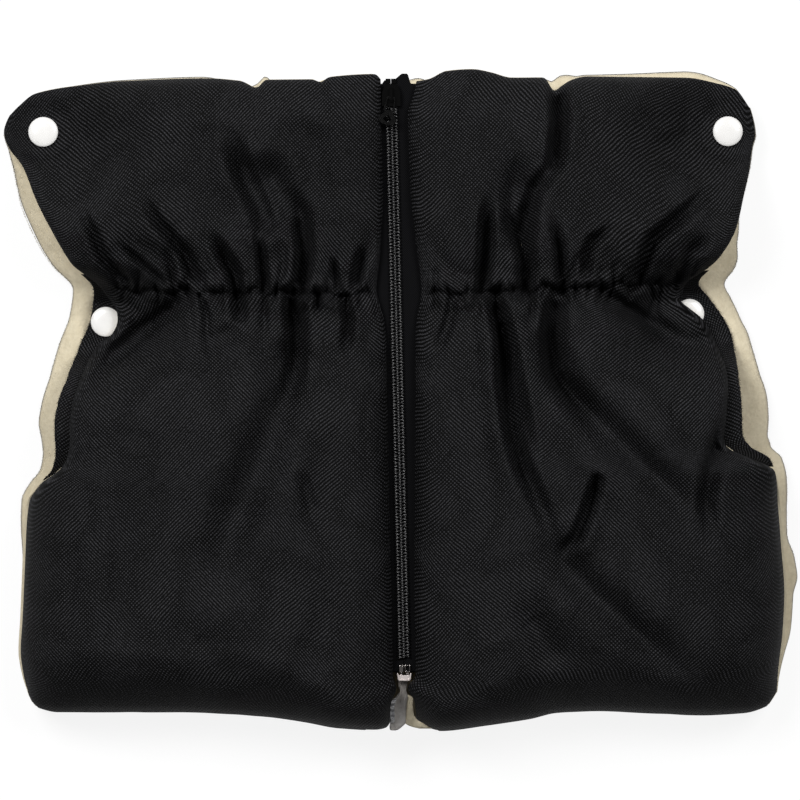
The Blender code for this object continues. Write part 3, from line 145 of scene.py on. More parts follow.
# How far each half's zip edge lies from the zip's centre line, as (rise, distance)
ZIP_REVEAL = {
    "left": (
        (5.5, 7.2), (15, 7), (18, 5.2), (22, 3.8), (25, 4.4), (28, 5.6), (36, 5.2), (161, 5.2),
        (192, 4.9), (207, 6), (221, 9.2), (235, 7.5), (249, 6.2), (272, 4.9), (324.7, 4.9),
    ),
    "right": (
        (5.5, 5.3), (16, 4.6), (19, 2.4), (22, 1.2), (25, 2.6), (28, 5.4), (60, 5.6), (161, 8.3),
        (192, 9), (207, 10.2), (221, 12.6), (235, 11.5), (249, 10), (272, 8.4), (309, 7.7),
        (316, 10.2), (324.7, 12.6),
    ),
}
SNAPS = {
    "left": {"upper": (179.2, 300.7), "lower": (148, 205.5)},
    "right": {"upper": (164.2, 301), "lower": (145, 209.5)},
}

# Levels and thicknesses of the padded sheets, near those of the part's solids
BACK_TOP = 12.0
BACK_EDGE_TOP = 7.5
BACK_EDGE_LIFT = 2.5
FOLD_EDGE_LIFT = 5.0
REST_LEVEL = 12.3
HELD_LEVEL = 13.4
ZIP_UNDERSIDE = 44.0
EDGE_TOP = 6.0
EDGE_UNDER = 2.5
FLEECE = 2.0
QUILT = 13.0
POUCH_CROWN = 15.0
CUFF_CROWN = 6.0
SIDE_ROUND = 45.0
TOP_ROUND = 26.0
WALL = 8.0
SEAT_LEVEL = 11.9
SEAT_RADIUS = 10.5
# Thinnest quilt between its two faces, and how far a swell may rise over the part's highest point
LEAST_QUILT = 2.5
FOLD_RISE = 6.0

SIGN = {"left": -1.0, "right": 1.0}


def curve(knots, at):
    """Smooth value through (position, value) knots without overshoot, flat past both ends."""
    x, y = np.array(knots, float).T
    at = np.clip(at, x[0], x[-1])
    rate = np.diff(y) / np.diff(x)
    product = rate[:-1] * rate[1:]
    total = np.where(product > 0, rate[:-1] + rate[1:], 1.0)
    inner = np.where(product > 0, 2 * product / total, 0.0)
    slope = np.concatenate([rate[:1], inner, rate[-1:]])
    k = np.clip(np.searchsorted(x, at) - 1, 0, len(rate) - 1)
    span = x[k + 1] - x[k]
    t = (at - x[k]) / span
    value = y[k] * (2 * t**3 - 3 * t**2 + 1) + y[k + 1] * (3 * t**2 - 2 * t**3)
    return value + span * (slope[k] * (t**3 - 2 * t**2 + t) + slope[k + 1] * (t**3 - t**2))


def mix(low, high, share):
    return low + (high - low) * share


def clamp(value):
    return np.clip(value, 0.0, 1.0)


def smooth_step(value):
    value = clamp(value)
    return value * value * (3.0 - 2.0 * value)


def round_off(distance, radius, start=0.0):
    """Quarter-ellipse rise from 0 at the edge to 1 at the radius."""
    share = clamp((distance - start) / (radius - start))
    return np.sqrt(1.0 - (1.0 - share) ** 2)


def zip_x(rise):
    """The zip's centre line leans a little."""
    return 1.75 + (rise - 35.7) * (-6.0 / 265.0)


def from_picture(points):
    """(reach, rise) points from places in the picture."""
    return [(abs(px - PICTURE_CENTRE) * MM_PER_PIXEL, (PICTURE_BASE - py) * MM_PER_PIXEL) for px, py in points]


def value_noise(x, y, seed):
    """Smooth noise from -1 to 1 over the plane, one cell a unit."""
    x, y = np.asarray(x, float), np.asarray(y, float)
    cx, cy = np.floor(x).astype(int), np.floor(y).astype(int)
    fx, fy = smooth_step(x - cx), smooth_step(y - cy)
    table = np.random.default_rng(seed).uniform(-1.0, 1.0, (64, 64))
    low = mix(table[cx % 64, cy % 64], table[(cx + 1) % 64, cy % 64], fx)
    high = mix(table[cx % 64, (cy + 1) % 64], table[(cx + 1) % 64, (cy + 1) % 64], fx)
    return mix(low, high, fy)


def spread(stops):
    """Positions from (end, step) stops, so that steps are fine where the cloth turns sharply."""
    places, at = [0.0], 0.0
    for end, step in stops:
        count = max(1, round((end - at) / step))
        places += list(np.linspace(at, end, count + 1)[1:])
        at = end
    return np.array(places)


def line_distance(x, y, line):
    """Distance to a polyline, and the share of its length at the nearest point."""
    line = np.array(line, float)
    runs = np.diff(line, axis=0)
    lengths = np.hypot(*runs.T)
    before = np.concatenate([[0.0], np.cumsum(lengths)])
    best = np.full(x.shape, np.inf)
    share = np.zeros(x.shape)
    for k, (start, run) in enumerate(zip(line, runs)):
        t = clamp(((x - start[0]) * run[0] + (y - start[1]) * run[1]) / (run @ run))
        away = np.hypot(x - start[0] - t * run[0], y - start[1] - t * run[1])
        share = np.where(away < best, (before[k] + t * lengths[k]) / before[-1], share)
        best = np.minimum(best, away)
    return best, share


def node_box(node):
    """Two corners of a CAD node's box as (x, rise, z) in millimetres."""
    return [(corner.x / MM, corner.y / MM + CENTRE_RISE, corner.z / MM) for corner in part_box(node)]


def two_sides(x, rise, middle, top, bottom, soft):
    """Upper and lower grid of a sheet, which meet on its middle level where soft is 0."""
    levels = np.broadcast_arrays(x, rise, mix(middle, top, soft), mix(middle, bottom, soft))
    return np.stack(levels[:3], axis=-1), np.stack((*levels[:2], levels[3]), axis=-1)


# Front panels


def plan(half, side_rise, zip_rise, along):
    """Reach and rise of points a share along the way from the zip's edge to the side edge."""
    first = zip_x(zip_rise) * SIGN[half] + curve(ZIP_REVEAL[half], zip_rise)
    last = curve(SIDE[half], side_rise) - curve(REVEAL[half], side_rise)
    reach = mix(first, last, along)
    rise = mix(zip_rise, side_rise, along)
    low, high = LOW_CORNER[half], HIGH_CORNER[half]
    span = high - low
    low_share = clamp(1.0 - (side_rise - low) / (span * 0.45))
    top_share = clamp(1.0 - (high - side_rise) / (span * 0.3))
    rise = rise + low_share**1.5 * (curve(LOWER[half], reach) - mix(ZIP_LOW_RISE, low, along))
    rise = rise + top_share**1.5 * (curve(TOP[half], reach) - mix(ZIP_TOP_RISE, high, along))
    return reach, rise, reach - first, last - reach


def edge_level(half, side_rise):
    """Level of the front's inner face along its side edge: low where it rests or is snapped, high at openings."""
    low = SNAPS[half]["lower"][1] - 9.0
    knots = (
        (114.0, REST_LEVEL), (136.0, 42.0), (148.0, 47.3), (low - 40.0, 46.0), (low - 20.0, 35.0),
        (low - 3.0, HELD_LEVEL), (low + 18.0, HELD_LEVEL), (WAIST[half] + 4.0, 29.0), (WAIST[half] + 14.0, 45.3),
        (252.0, 45.3), (SNAPS[half]["upper"][1] - 13.0, REST_LEVEL),
    )
    return curve(knots, side_rise)


def crown(half, side_rise):
    """How far the cavity's roof rises over the zip's level away from the edges."""
    waist = WAIST[half]
    knots = (
        (LOW_CORNER[half], 9.0), (60.0, POUCH_CROWN), (150.0, POUCH_CROWN), (waist - 28.0, 7.0), (waist, -3.0),
        (waist + 26.0, 5.0), (waist + 50.0, CUFF_CROWN), (HIGH_CORNER[half], 3.0),
    )
    return curve(knots, side_rise)


def front_levels(half, side_rise, place):
    """Levels of the panel's outer face and of its lining's inner face, and how free the cloth is to fold."""
    reach, rise, from_zip, from_side = place
    from_lower = np.maximum(rise - curve(LOWER[half], reach), 0.0)
    from_top = np.maximum(curve(TOP[half], reach) - rise, 0.0)
    share = clamp(from_zip / (from_zip + from_side))
    top_level = curve(
        ((0.0, ZIP_UNDERSIDE), (0.11, ZIP_UNDERSIDE), (0.2, 40.2), (0.45, 29.7), (0.8, REST_LEVEL)), share)
    weights = [(d + 1.0) ** -2 for d in (from_side, from_top, from_lower)]
    levels = (edge_level(half, side_rise), top_level, REST_LEVEL)
    edge = sum(w * z for w, z in zip(weights, levels)) / sum(weights)
    puff = crown(half, side_rise)
    lower_round = mix(15.0, 34.0, smooth_step((from_zip - 16.0) / 50.0))
    held = np.ones(reach.shape)
    for name, reach_of in (("upper", 58.0), ("lower", 42.0)):
        snap = SNAPS[half][name]
        away = np.hypot(reach - snap[0], rise - snap[1])
        held = held * smooth_step((away - 10.0) / reach_of)
    ease = round_off(from_side, SIDE_ROUND) * round_off(from_lower, lower_round) * round_off(from_top, TOP_ROUND)
    filled = ZIP_UNDERSIDE + EDGE_TOP + (puff + QUILT - EDGE_TOP) * round_off(from_zip, SIDE_ROUND)
    outer = mix(edge + EDGE_TOP, filled, ease * held)
    under = round_off(from_side, SIDE_ROUND, WALL) * round_off(from_lower, lower_round, 5.0)
    under = under * round_off(from_top, TOP_ROUND, 5.0)
    hollow = ZIP_UNDERSIDE + puff * smooth_step((from_zip - 7.3) / 37.7)
    inner = mix(edge, hollow, under * held)
    seat = SNAPS[half]["upper"]
    away = np.hypot(reach - seat[0], rise - seat[1])
    on_seat = smooth_step((away - SEAT_RADIUS) / 8.0)
    outer = mix(SEAT_LEVEL + 5.0, outer, on_seat)
    inner = mix(SEAT_LEVEL, inner, on_seat)
    free = smooth_step(np.minimum(from_lower / 16.0, from_top / 9.0))
    free = free * smooth_step(np.minimum(from_zip, from_side) / 7.0) * smooth_step((away - 12.0) / 14.0)
    low = SNAPS[half]["lower"]
    over_cap = 3.2 * (1.0 - smooth_step((np.hypot(reach - low[0], rise - low[1]) - 8.5) / 7.0))
    bend = 0.75 * free * np.minimum(fold_height(half, reach, rise), 0.0)
    return outer + over_cap, inner + over_cap + bend, free


# Folds of the quilt: points in the picture, depth of the groove, its half width, height of the swell beside it
FOLDS = {
    "left": (
        (((140, 192), (162, 227), (185, 255), (200, 285)), 7.5, 2.7, 1.5),
        (((178, 238), (190, 262), (196, 282)), 4, 6, 0),
        (((80, 203), (95, 235), (105, 262), (130, 284)), 6.5, 2.3, 1.2),
        (((117, 242), (140, 262), (165, 284)), 4.5, 1.8, 1),
        (((206, 228), (222, 252), (234, 272), (240, 297), (241, 316)), 12, 3.2, 2),
        (((230, 128), (240, 160), (247, 180), (260, 205), (267, 226)), 12, 4.6, 2.5),
        (((257, 224), (262, 255), (266, 290)), 8, 2.2, 1),
        (((258, 150), (276, 188), (292, 222)), 13, 8, 0),
        (((293, 186), (302, 217), (305, 255), (302, 290)), 13, 3.5, 2),
        (((287, 104), (312, 146), (318, 192)), 2.8, 7, 1.5),
        (((365, 244), (360, 262), (354, 287)), 8, 2.3, 1),
        (((333, 256), (336, 275), (338, 290)), 6, 1.7, 0.8),
        (((291, 295), (297, 330), (296, 365), (286, 412)), 14, 3.9, 2),
        (((292, 330), (284, 400), (262, 462), (232, 528), (204, 620)), 7.5, 10, 2),
        (((344, 299), (349, 320), (346, 358)), 8, 2.7, 1),
        (((188, 295), (165, 315), (137, 335), (112, 360), (86, 408)), 7, 4.5, 2),
        (((188, 336), (214, 342), (242, 330)), 3, 5, 1),
        (((318, 291), (319, 314)), 6, 1.9, 0.5),
        (((305, 480), (310, 500), (315, 520)), 2.6, 3.2, 0.6),
        (((322, 370), (318, 430), (323, 500), (316, 566)), 2, 12, 1),
        (((196, 636), (228, 666), (264, 674)), 2.6, 10, 1.2),
        (((334, 598), (318, 640), (330, 676)), 2, 10, 1),
    ),
    "right": (
        (((489, 190), (486, 227), (485, 252), (481, 291)), 13, 3.2, 1.5),
        (((553, 20), (559, 125), (554, 165)), 12, 3.7, 2),
        (((556, 150), (548, 172), (534, 190), (526, 215), (524, 240), (526, 265), (524, 294)), 13, 3.8, 2),
        (((522, 150), (513, 205), (516, 240)), 12, 7, 0),
        (((503, 208), (511, 226), (520, 244)), 6, 2.5, 0.5),
        (((551, 214), (559, 250), (562, 290)), 9, 2.3, 1),
        (((614, 226), (592, 242), (585, 256), (585, 274)), 5.5, 2.5, 1.5),
        (((718, 182), (681, 216), (652, 241), (634, 284)), 9, 3.3, 2),
        (((712, 234), (690, 254), (674, 285)), 5, 3.5, 1),
        (((494, 297), (503, 338), (504, 382), (510, 425), (522, 468), (542, 510), (557, 556)), 15, 3.9, 3),
        (((504, 330), (514, 382), (524, 430), (536, 470)), 11, 3.6, 1),
        (((556, 297), (549, 338), (553, 374), (574, 401), (608, 434)), 13, 4.6, 2),
        (((552, 340), (562, 384), (600, 424), (636, 460), (672, 492), (714, 536)), 9.5, 8, 3),
        (((601, 293), (622, 309), (652, 324), (688, 342)), 7, 4, 1.5),
        (((595, 480), (586, 510), (575, 536), (552, 562)), 9, 2.9, 2),
        (((552, 552), (584, 586), (616, 614), (660, 652), (706, 688)), 7, 8, 2.5),
        (((723, 430), (708, 470), (704, 506), (711, 550)), 9, 4.2, 1.5),
        (((530, 614), (548, 650), (582, 652)), 4, 8, 1.5),
        (((453, 301), (446, 330), (434, 356)), 3.6, 2.6, 0.6),
        (((470, 400), (478, 480), (480, 566)), 2, 12, 1),
    ),
}
WAIST_IN_PICTURE = 292


def fold_height(half, reach, rise):
    """The main folds, each a groove between two soft swells, deepest towards the waist."""
    height = np.zeros(reach.shape)
    for points, depth, width, swell in FOLDS[half]:
        away, share = line_distance(reach, rise, from_picture(points))
        if abs(points[0][1] - WAIST_IN_PICTURE) > abs(points[-1][1] - WAIST_IN_PICTURE):
            share = 1.0 - share
        ends = smooth_step((1.0 - share) / 0.45) * (0.6 + 0.4 * smooth_step(share / 0.08))
        groove = -depth * np.exp(-((away / width) ** (2.6 if width < 6.0 else 2.0)))
        bank = swell * np.exp(-(((away - 1.9 * width) / (1.3 * width)) ** 2))
        height += (groove + bank) * ends
    return height


def gather_height(half, reach, rise, along):
    """Soft waves that run out from the elastic at the waist, narrow close to it and wide far away."""
    away = rise - mix(WAIST_AT_ZIP, WAIST[half], along)
    seed = 11 if half == "left" else 23
    height = np.zeros(reach.shape)
    for k, (length, reach_out, size) in enumerate(((9.4, 12.0, 2.0), (17.0, 26.0, 3.0), (31.0, 46.0, 2.6))):
        wander = value_noise(reach / 14.0, away / 22.0 + 7.0 * k, seed + k) * 0.55 * length
        lean = value_noise(reach / 30.0, 3.0 * k + 0.5, seed + 40 + k) * 0.5 * away
        wave = np.abs(np.sin(math.pi * (reach + wander + lean) / length)) ** 0.7
        strength = 0.65 + 0.35 * value_noise(reach / 19.0, np.sign(away) * 3.0 + k, seed + 70 + k)
        height = height + size * (wave - 0.62) * strength * np.exp(-np.abs(away) / reach_out)
    return height


def pucker_height(half, reach, rise, along):
    """Tight puckers at the casing of the elastic: a stitched line with small puffs and creases on both sides."""
    line = mix(WAIST_AT_ZIP, WAIST[half], along) + 2.6 * value_noise(reach / 6.0, 0.5, 61)
    away = rise - line
    uneven = 1.0 + 0.9 * value_noise(reach / 6.0, np.sign(away) * 2.0, 62)
    stitched = 0.5 + 0.5 * value_noise(reach / 3.7, 0.5, 63)
    height = -(0.3 + 5.0 * stitched) * np.exp(-((away / 1.3) ** 2))
    height = height + 2.2 * uneven * np.exp(-(((np.abs(away) - 4.4) / 3.2) ** 2))
    draw = np.random.default_rng(101 if half == "left" else 202)
    for up in (1.0, -1.0):
        at = 8.0
        while at < 150.0:
            length = draw.choice((7.0, 12.0, 20.0, 36.0), p=(0.3, 0.34, 0.22, 0.14))
            depth = draw.uniform(3.5, 8.0) + 0.03 * length
            lean = draw.normal(0.0, 0.22) + up * 0.0016 * (at - 75.0)
            run = up * away
            across = reach - at - lean * run + 0.8 * np.sin(run / 4.0 + at)
            width = 0.95 + 0.1 * np.clip(run, 0.0, 60.0)
            fade = clamp(1.0 - run / length) ** 0.8 * smooth_step((run + 1.5) / 3.0)
            height = height - depth * fade * np.exp(-np.abs(across / width) ** 1.7)
            at += draw.uniform(3.6, 10.0)
    return height


def front_grid(half):
    """Grid over one half, fine at its edges and waist: share of the way from the zip, side rise and zip rise."""
    columns = spread(
        ((1.0, 0.5), (4.0, 1.0), (14.0, 1.4), (166.0, 1.45), (176.0, 1.3), (179.0, 1.0), (180.0, 0.5))) / 180.0
    rows = spread((
        (1.0, 0.5), (4.0, 1.0), (16.0, 1.6), (176.0, 2.0), (192.0, 1.3), (210.0, 0.9), (226.0, 1.3), (272.0, 1.8),
        (285.0, 1.4), (288.0, 1.0), (289.0, 0.5)))
    marks = (0.0, 201.0, 289.0)
    side_rise = np.interp(rows, marks, (LOW_CORNER[half], WAIST[half], HIGH_CORNER[half]))
    zip_rise = np.interp(rows, marks, (ZIP_LOW_RISE, WAIST_AT_ZIP, ZIP_TOP_RISE))
    along, side_grid = np.meshgrid(columns, side_rise)
    return along, side_grid, np.meshgrid(columns, zip_rise)[1]


def grid_quads(rows, columns, first=0, flip=False):
    """Faces of a grid of points whose indexes run row by row."""
    r, c = np.meshgrid(np.arange(rows - 1), np.arange(columns - 1), indexing="ij")
    a = first + r * columns + c
    quads = np.stack([a, a + 1, a + columns + 1, a + columns], axis=-1).reshape(-1, 4)
    return quads[:, ::-1] if flip else quads


def rim_of(rows, columns):
    """Grid indexes round the edge, in order."""
    loop = [(0, c) for c in range(columns)] + [(r, columns - 1) for r in range(1, rows)]
    loop += [(rows - 1, c) for c in range(columns - 2, -1, -1)] + [(r, 0) for r in range(rows - 2, 0, -1)]
    return np.array([r * columns + c for r, c in loop])


def cloth_lengths(points):
    """Lengths along the cloth from one edge, along rows and up columns, for the weave to follow."""
    across = np.zeros(points.shape[:2])
    upward = np.zeros(points.shape[:2])
    across[:, 1:] = np.cumsum(np.linalg.norm(np.diff(points, axis=1), axis=2), axis=1)
    upward[1:] = np.cumsum(np.linalg.norm(np.diff(points, axis=0), axis=2), axis=0)
    return across, upward


def calm(points, rounds=40):
    """The same surface with its small folds smoothed away, so that the weave runs evenly over them."""
    z = points[..., 2].copy()
    for _ in range(rounds):
        padded = np.pad(z, 1, mode="edge")
        z = (padded[:-2, 1:-1] + padded[2:, 1:-1] + padded[1:-1, :-2] + padded[1:-1, 2:] + 2 * z) / 6
    return np.concatenate([points[..., :2], 0.25 * z[..., None]], axis=-1)


def make_mesh(name, points, faces, lengths=None, outward=True):
    """Smooth mesh object from points in millimetres (x, rise, z). lengths give each point's place on the flat cloth."""
    points = np.asarray(points, float).reshape(-1, 3) - (0.0, CENTRE_RISE, 0.0)
    mesh = bpy.data.meshes.new(name)
    mesh.from_pydata((points * MM).tolist(), [], [list(map(int, face)) for face in faces])
    mesh.validate()
    if lengths is not None:
        layer = mesh.uv_layers.new(name="cloth")
        loops = np.zeros(len(mesh.loops), int)
        mesh.loops.foreach_get("vertex_index", loops)
        flat = np.column_stack(lengths) * MM
        layer.data.foreach_set("uv", flat[loops].astype(np.float32).ravel())
    piece = bpy.data.objects.new(name, mesh)
    bpy.context.scene.collection.objects.link(piece)
    mesh.shade_smooth()
    if outward:
        shape = bmesh.new()
        shape.from_mesh(mesh)
        bmesh.ops.recalc_face_normals(shape, faces=shape.faces)
        shape.to_mesh(mesh)
        shape.free()
    return piece


def shell_mesh(name, upper, lower, lengths, kept=None):
    """Closed body from two grids that share their rim. kept are values of the upper grid's points to store."""
    rows, columns = upper.shape[:2]
    count = rows * columns
    rim = rim_of(rows, columns)
    rename = np.arange(2 * count)
    rename[count + rim] = rim
    keep = np.ones(2 * count, bool)
    keep[count + rim] = False
    order = np.cumsum(keep) - 1
    points = np.concatenate([upper.reshape(-1, 3), lower.reshape(-1, 3)])[keep]
    quads = np.concatenate([grid_quads(rows, columns), grid_quads(rows, columns, count, True)])
    quads = order[rename[quads]]
    piece = make_mesh(name, points, quads, [np.tile(np.ravel(a), 2)[keep] for a in lengths])
    for label, values in (kept or {}).items():
        both = np.concatenate([np.ravel(values), np.zeros(count)])[keep]
        piece.data.attributes.new(label, "FLOAT", "POINT").data.foreach_set("value", both.astype(np.float32))
    return piece


def sheet_mesh(name, upper, lower, lengths):
    """Closed sheet from two grids with a narrow wall between their rims."""
    rows, columns = upper.shape[:2]
    count = rows * columns
    rim = rim_of(rows, columns)
    after = np.roll(rim, -1)
    wall = np.column_stack([after, rim, count + rim, count + after])
    quads = np.concatenate([grid_quads(rows, columns), grid_quads(rows, columns, count, True), wall])
    flat = [np.tile(np.ravel(a), 2) for a in lengths]
    return make_mesh(name, np.stack([upper, lower]), quads, flat)


def subdivide(piece):
    """Subdivision surface, applied."""
    modifier = piece.modifiers.new("Subdivision", "SUBSURF")
    modifier.levels = modifier.render_levels = 1
    graph = bpy.context.evaluated_depsgraph_get()
    final = bpy.data.meshes.new_from_object(piece.evaluated_get(graph), depsgraph=graph)
    piece.modifiers.clear()
    piece.data = final
    final.shade_smooth()


def panel_levels(half):
    """One half's grid, its points' places in plan, its two faces' levels and how free its cloth is."""
    along, side_rise, zip_rise = front_grid(half)
    place = plan(half, side_rise, zip_rise, along)
    outer, inner, free = front_levels(half, side_rise, place)
    return along, side_rise, place, outer, inner, free


# Cloth simulation, run on a sheet ten times as large, which keeps the solver steady
SIM_SCALE = 10.0
SIM_FRAMES = 16
SIM_SETTINGS = {
    "quality": 5, "mass": 0.3, "tension_stiffness": 20.0, "compression_stiffness": 20.0, "shear_stiffness": 6.0,
    "bending_stiffness": 0.4, "air_damping": 3.0, "vertex_group_mass": "held", "pin_stiffness": 1.0,
    "vertex_group_shrink": "spare", "shrink_min": 0.0, "shrink_max": -1.0, "use_pressure": True,
}
# Pressure under the cloth, and the farthest that it may move a point, in mm
SIM_PRESSURE = 0.4
SIM_REACH = 7.0


def settle(name, points, hold, growth):
    """Let a held sheet of cloth with cloth to spare find its own wrinkles."""
    rows, columns = points.shape[:2]
    mesh = bpy.data.meshes.new(name)
    mesh.from_pydata((points.reshape(-1, 3) * MM * SIM_SCALE).tolist(), [], grid_quads(rows, columns).tolist())
    sheet = bpy.data.objects.new(name, mesh)
    bpy.context.scene.collection.objects.link(sheet)
    for group, weights in (("held", hold), ("spare", growth)):
        made = sheet.vertex_groups.new(name=group)
        levels = np.round(np.ravel(weights), 2)
        for level in np.unique(levels):
            made.add(np.flatnonzero(levels == level).tolist(), float(level), "REPLACE")
    cloth = sheet.modifiers.new("Cloth", "CLOTH")
    for key, value in SIM_SETTINGS.items():
        setattr(cloth.settings, key, value)
    cloth.settings.uniform_pressure_force = SIM_PRESSURE
    cloth.settings.effector_weights.gravity = 0.0
    cloth.collision_settings.use_self_collision = False
    scene = bpy.context.scene
    for step in range(1, SIM_FRAMES + 1):
        scene.frame_set(step)
    graph = bpy.context.evaluated_depsgraph_get()
    final = sheet.evaluated_get(graph).to_mesh()
    moved = np.zeros(rows * columns * 3)
    final.vertices.foreach_get("co", moved)
    moved = moved.reshape(points.shape) / (MM * SIM_SCALE) - points
    bpy.data.objects.remove(sheet)
    scene.frame_set(1)
    far = np.linalg.norm(moved, axis=-1, keepdims=True)
    return points + moved * np.minimum(1.0, SIM_REACH / np.maximum(far, 1e-6))


def make_panel(half):
    """Padded shell of one front half: a pillow between its outer cloth and its lining."""
    along, side_rise, place, outer, inner, free = panel_levels(half)
    reach, rise, from_zip, from_side = place
    from_edge = np.minimum(np.minimum(from_zip, from_side), np.minimum(rise - rise[0], rise[-1] - rise))
    outer = outer + free * (0.4 * fold_height(half, reach, rise) + gather_height(half, reach, rise, along))
    outer = outer + free * 0.5 * value_noise(reach / 17.0, rise / 23.0, 5)
    floor = inner + EDGE_UNDER
    outer = np.clip(outer, floor + LEAST_QUILT, cad_high.z / MM + FOLD_RISE)
    bulge = round_off(from_edge, 3.5)
    upper, lower = two_sides(SIGN[half] * reach, rise, (outer + floor) / 2, outer, floor, bulge)
    away = np.abs(rise - mix(WAIST_AT_ZIP, WAIST[half], along))
    spare = 0.02 + 0.3 * np.exp(-away / 16.0)
    hold = np.clip(0.03 + 1.0 - smooth_step(from_edge / 30.0) + 0.8 * np.exp(-((away / 1.8) ** 2)), 0.0, 1.0)
    upper = settle("cloth_" + half, upper, np.maximum(hold, 1.0 - free), spare * free)
    upper[..., 2] = np.maximum(upper[..., 2], lower[..., 2] + LEAST_QUILT * bulge)
    kept = {"free": free * smooth_step(from_edge / 5.0), "along": along, "room": upper[..., 2] - lower[..., 2]}
    piece = shell_mesh("front_panel_" + half, upper, lower, cloth_lengths(calm(upper)), kept)
    subdivide(piece)
    crease(piece, half, kept)
    return piece


def crease(piece, half, kept):
    """Press the folds and the waist's puckers into the fine mesh of a panel's outer cloth."""
    mesh = piece.data
    values = {name: np.zeros(len(mesh.vertices), np.float32) for name in kept}
    for name, found in values.items():
        mesh.attributes[name].data.foreach_get("value", found)
        mesh.attributes.remove(mesh.attributes[name])
    points = np.zeros(len(mesh.vertices) * 3, np.float32)
    mesh.vertices.foreach_get("co", points)
    points = points.reshape(-1, 3).astype(float)
    reach = np.abs(points[:, 0]) / MM
    rise = points[:, 1] / MM + CENTRE_RISE
    pressed = 0.9 * fold_height(half, reach, rise) + pucker_height(half, reach, rise, values["along"])
    points[:, 2] += np.maximum(values["free"] * pressed, -np.maximum(values["room"] - 2.0, 0.0)) * MM
    mesh.vertices.foreach_set("co", points.astype(np.float32).ravel())
    mesh.update()


def make_front_lining(half):
    """Fleece sheet under one front half, its edge showing a little past the shell at the lower side."""
    along, side_rise, place, _, inner, _ = panel_levels(half)
    keep_rows = np.r_[0:along.shape[0]:2, along.shape[0] - 1]
    keep_columns = np.r_[5:along.shape[1]:2, along.shape[1] - 1]
    pick = np.ix_(keep_rows, keep_columns)
    reach, rise, inner, side_rise, along = (a[pick] for a in (place[0], place[1], inner, side_rise, along))
    past = curve((
        (20.0, 0.3), (40.0, 1.1), (110.0, 1.3), (124.0, 0.4), (140.0, -0.4), (SNAPS[half]["lower"][1], -0.6),
        (300.0, -0.5)), side_rise)
    reach = reach + past * smooth_step((along - 0.9) / 0.1)
    fluff = 0.35 * value_noise(reach / 2.3, rise / 2.3, 3) + 0.3 * value_noise(reach / 7.0, rise / 7.0, 4)
    gather = 0.5 * gather_height(half, reach, rise, along) * smooth_step(np.minimum(along, 1 - along) / 0.05)
    top = inner + FLEECE
    bottom = np.minimum(inner + np.minimum(0.0, fluff - 0.3) + np.clip(gather, -1.6, 0.6), top - 0.8)
    upper, lower = two_sides(SIGN[half] * reach, rise, top, top, bottom, 1.0)
    return sheet_mesh("front_fleece_" + half, upper, lower, cloth_lengths(upper))


def make_facing_strip(half):
    """Flat facing that edges the hand opening, under the padded panel's edge."""
    low, high = (126.0, 229.0) if half == "left" else (133.0, 231.0)
    rise, share = np.meshgrid(np.linspace(low, high, 120), np.linspace(0.0, 1.0, 16), indexing="ij")
    cap_reach, cap_rise = SNAPS[half]["lower"]
    outer_edge = curve(SIDE[half], rise)
    inner_edge = outer_edge - curve(REVEAL[half], rise) - 5.0
    inner_edge = np.minimum(inner_edge, cap_reach - 9.0 + (rise - cap_rise) ** 2 / 12.0)
    reach = mix(outer_edge, inner_edge, share)
    ragged = 0.35 * value_noise(rise / 1.1, 0.5, 8) + 0.3 * value_noise(rise / 4.0, 0.5, 9)
    reach = reach + ragged * (1.0 - share) ** 4
    soft = round_off(np.minimum(share, 1.0 - share) * 12.0, 1.2)
    dip = 0.5 * value_noise(reach / 6.0, rise / 9.0, 10) * smooth_step(share / 0.2)
    dip = dip * smooth_step((np.hypot(reach - cap_reach, rise - cap_rise) - 8.0) / 6.0)
    middle = edge_level(half, rise) - 0.9 + np.minimum(dip, 0.0)
    upper, lower = two_sides(SIGN[half] * reach, rise, middle, middle + 0.6, middle - 0.6, soft)
    return shell_mesh("facing_" + half, upper, lower, cloth_lengths(upper))


# Back panel


def back_plan(rows=120, columns=170):
    """Plan of the back panel: reach and rise over a grid, with distances from its edges."""
    v = smooth_edges(rows)
    u = smooth_edges(columns)
    left_rise = mix(LOW_CORNER["left"], HIGH_CORNER["left"], v)[:, None]
    right_rise = mix(LOW_CORNER["right"], HIGH_CORNER["right"], v)[:, None]
    left_x = -curve(SIDE["left"], left_rise) - curve(MARGIN["left"], left_rise)
    right_x = curve(SIDE["right"], right_rise) + curve(MARGIN["right"], right_rise)
    u = u[None, :]
    x = mix(left_x, right_x, u)
    rise = mix(left_rise, right_rise, u)
    low_line = mix(LOW_CORNER["left"], LOW_CORNER["right"], u)
    top_line = mix(HIGH_CORNER["left"], HIGH_CORNER["right"], u)
    reach = np.abs(x)
    low_edge = np.where(x < 0, curve(LOWER["left"], reach), curve(LOWER["right"], reach))
    top_edge = np.where(x < 0, curve(TOP["left"], reach), curve(TOP["right"], reach)) + back_top_extra(x)
    low_share = clamp(1.0 - v / 0.45)[:, None] ** 1.5
    top_share = clamp(1.0 - (1.0 - v) / 0.3)[:, None] ** 1.5
    rise = rise + low_share * (low_edge - low_line) + top_share * (top_edge - top_line)
    from_side = np.minimum(x - left_x, right_x - x)
    return x, rise, from_side, rise - rise[0][None, :], rise[-1][None, :] - rise


def back_top_extra(x):
    """Where the back's fleece shows above the front's top edge."""
    knots = (
        (-180.0, 0.0), (-126.0, 1.2), (-100.0, 1.6), (-78.0, -1.0), (-70.0, 4.0), (-62.0, -1.0), (-30.0, 0.5),
        (-10.0, -1.0), (8.0, 3.0), (20.0, -2.0), (70.0, -1.0), (78.0, 6.6), (90.0, 1.6), (110.0, 2.0), (150.0, 3.4),
        (162.0, 2.0), (172.0, 0.4),
    )
    return curve(knots, x)


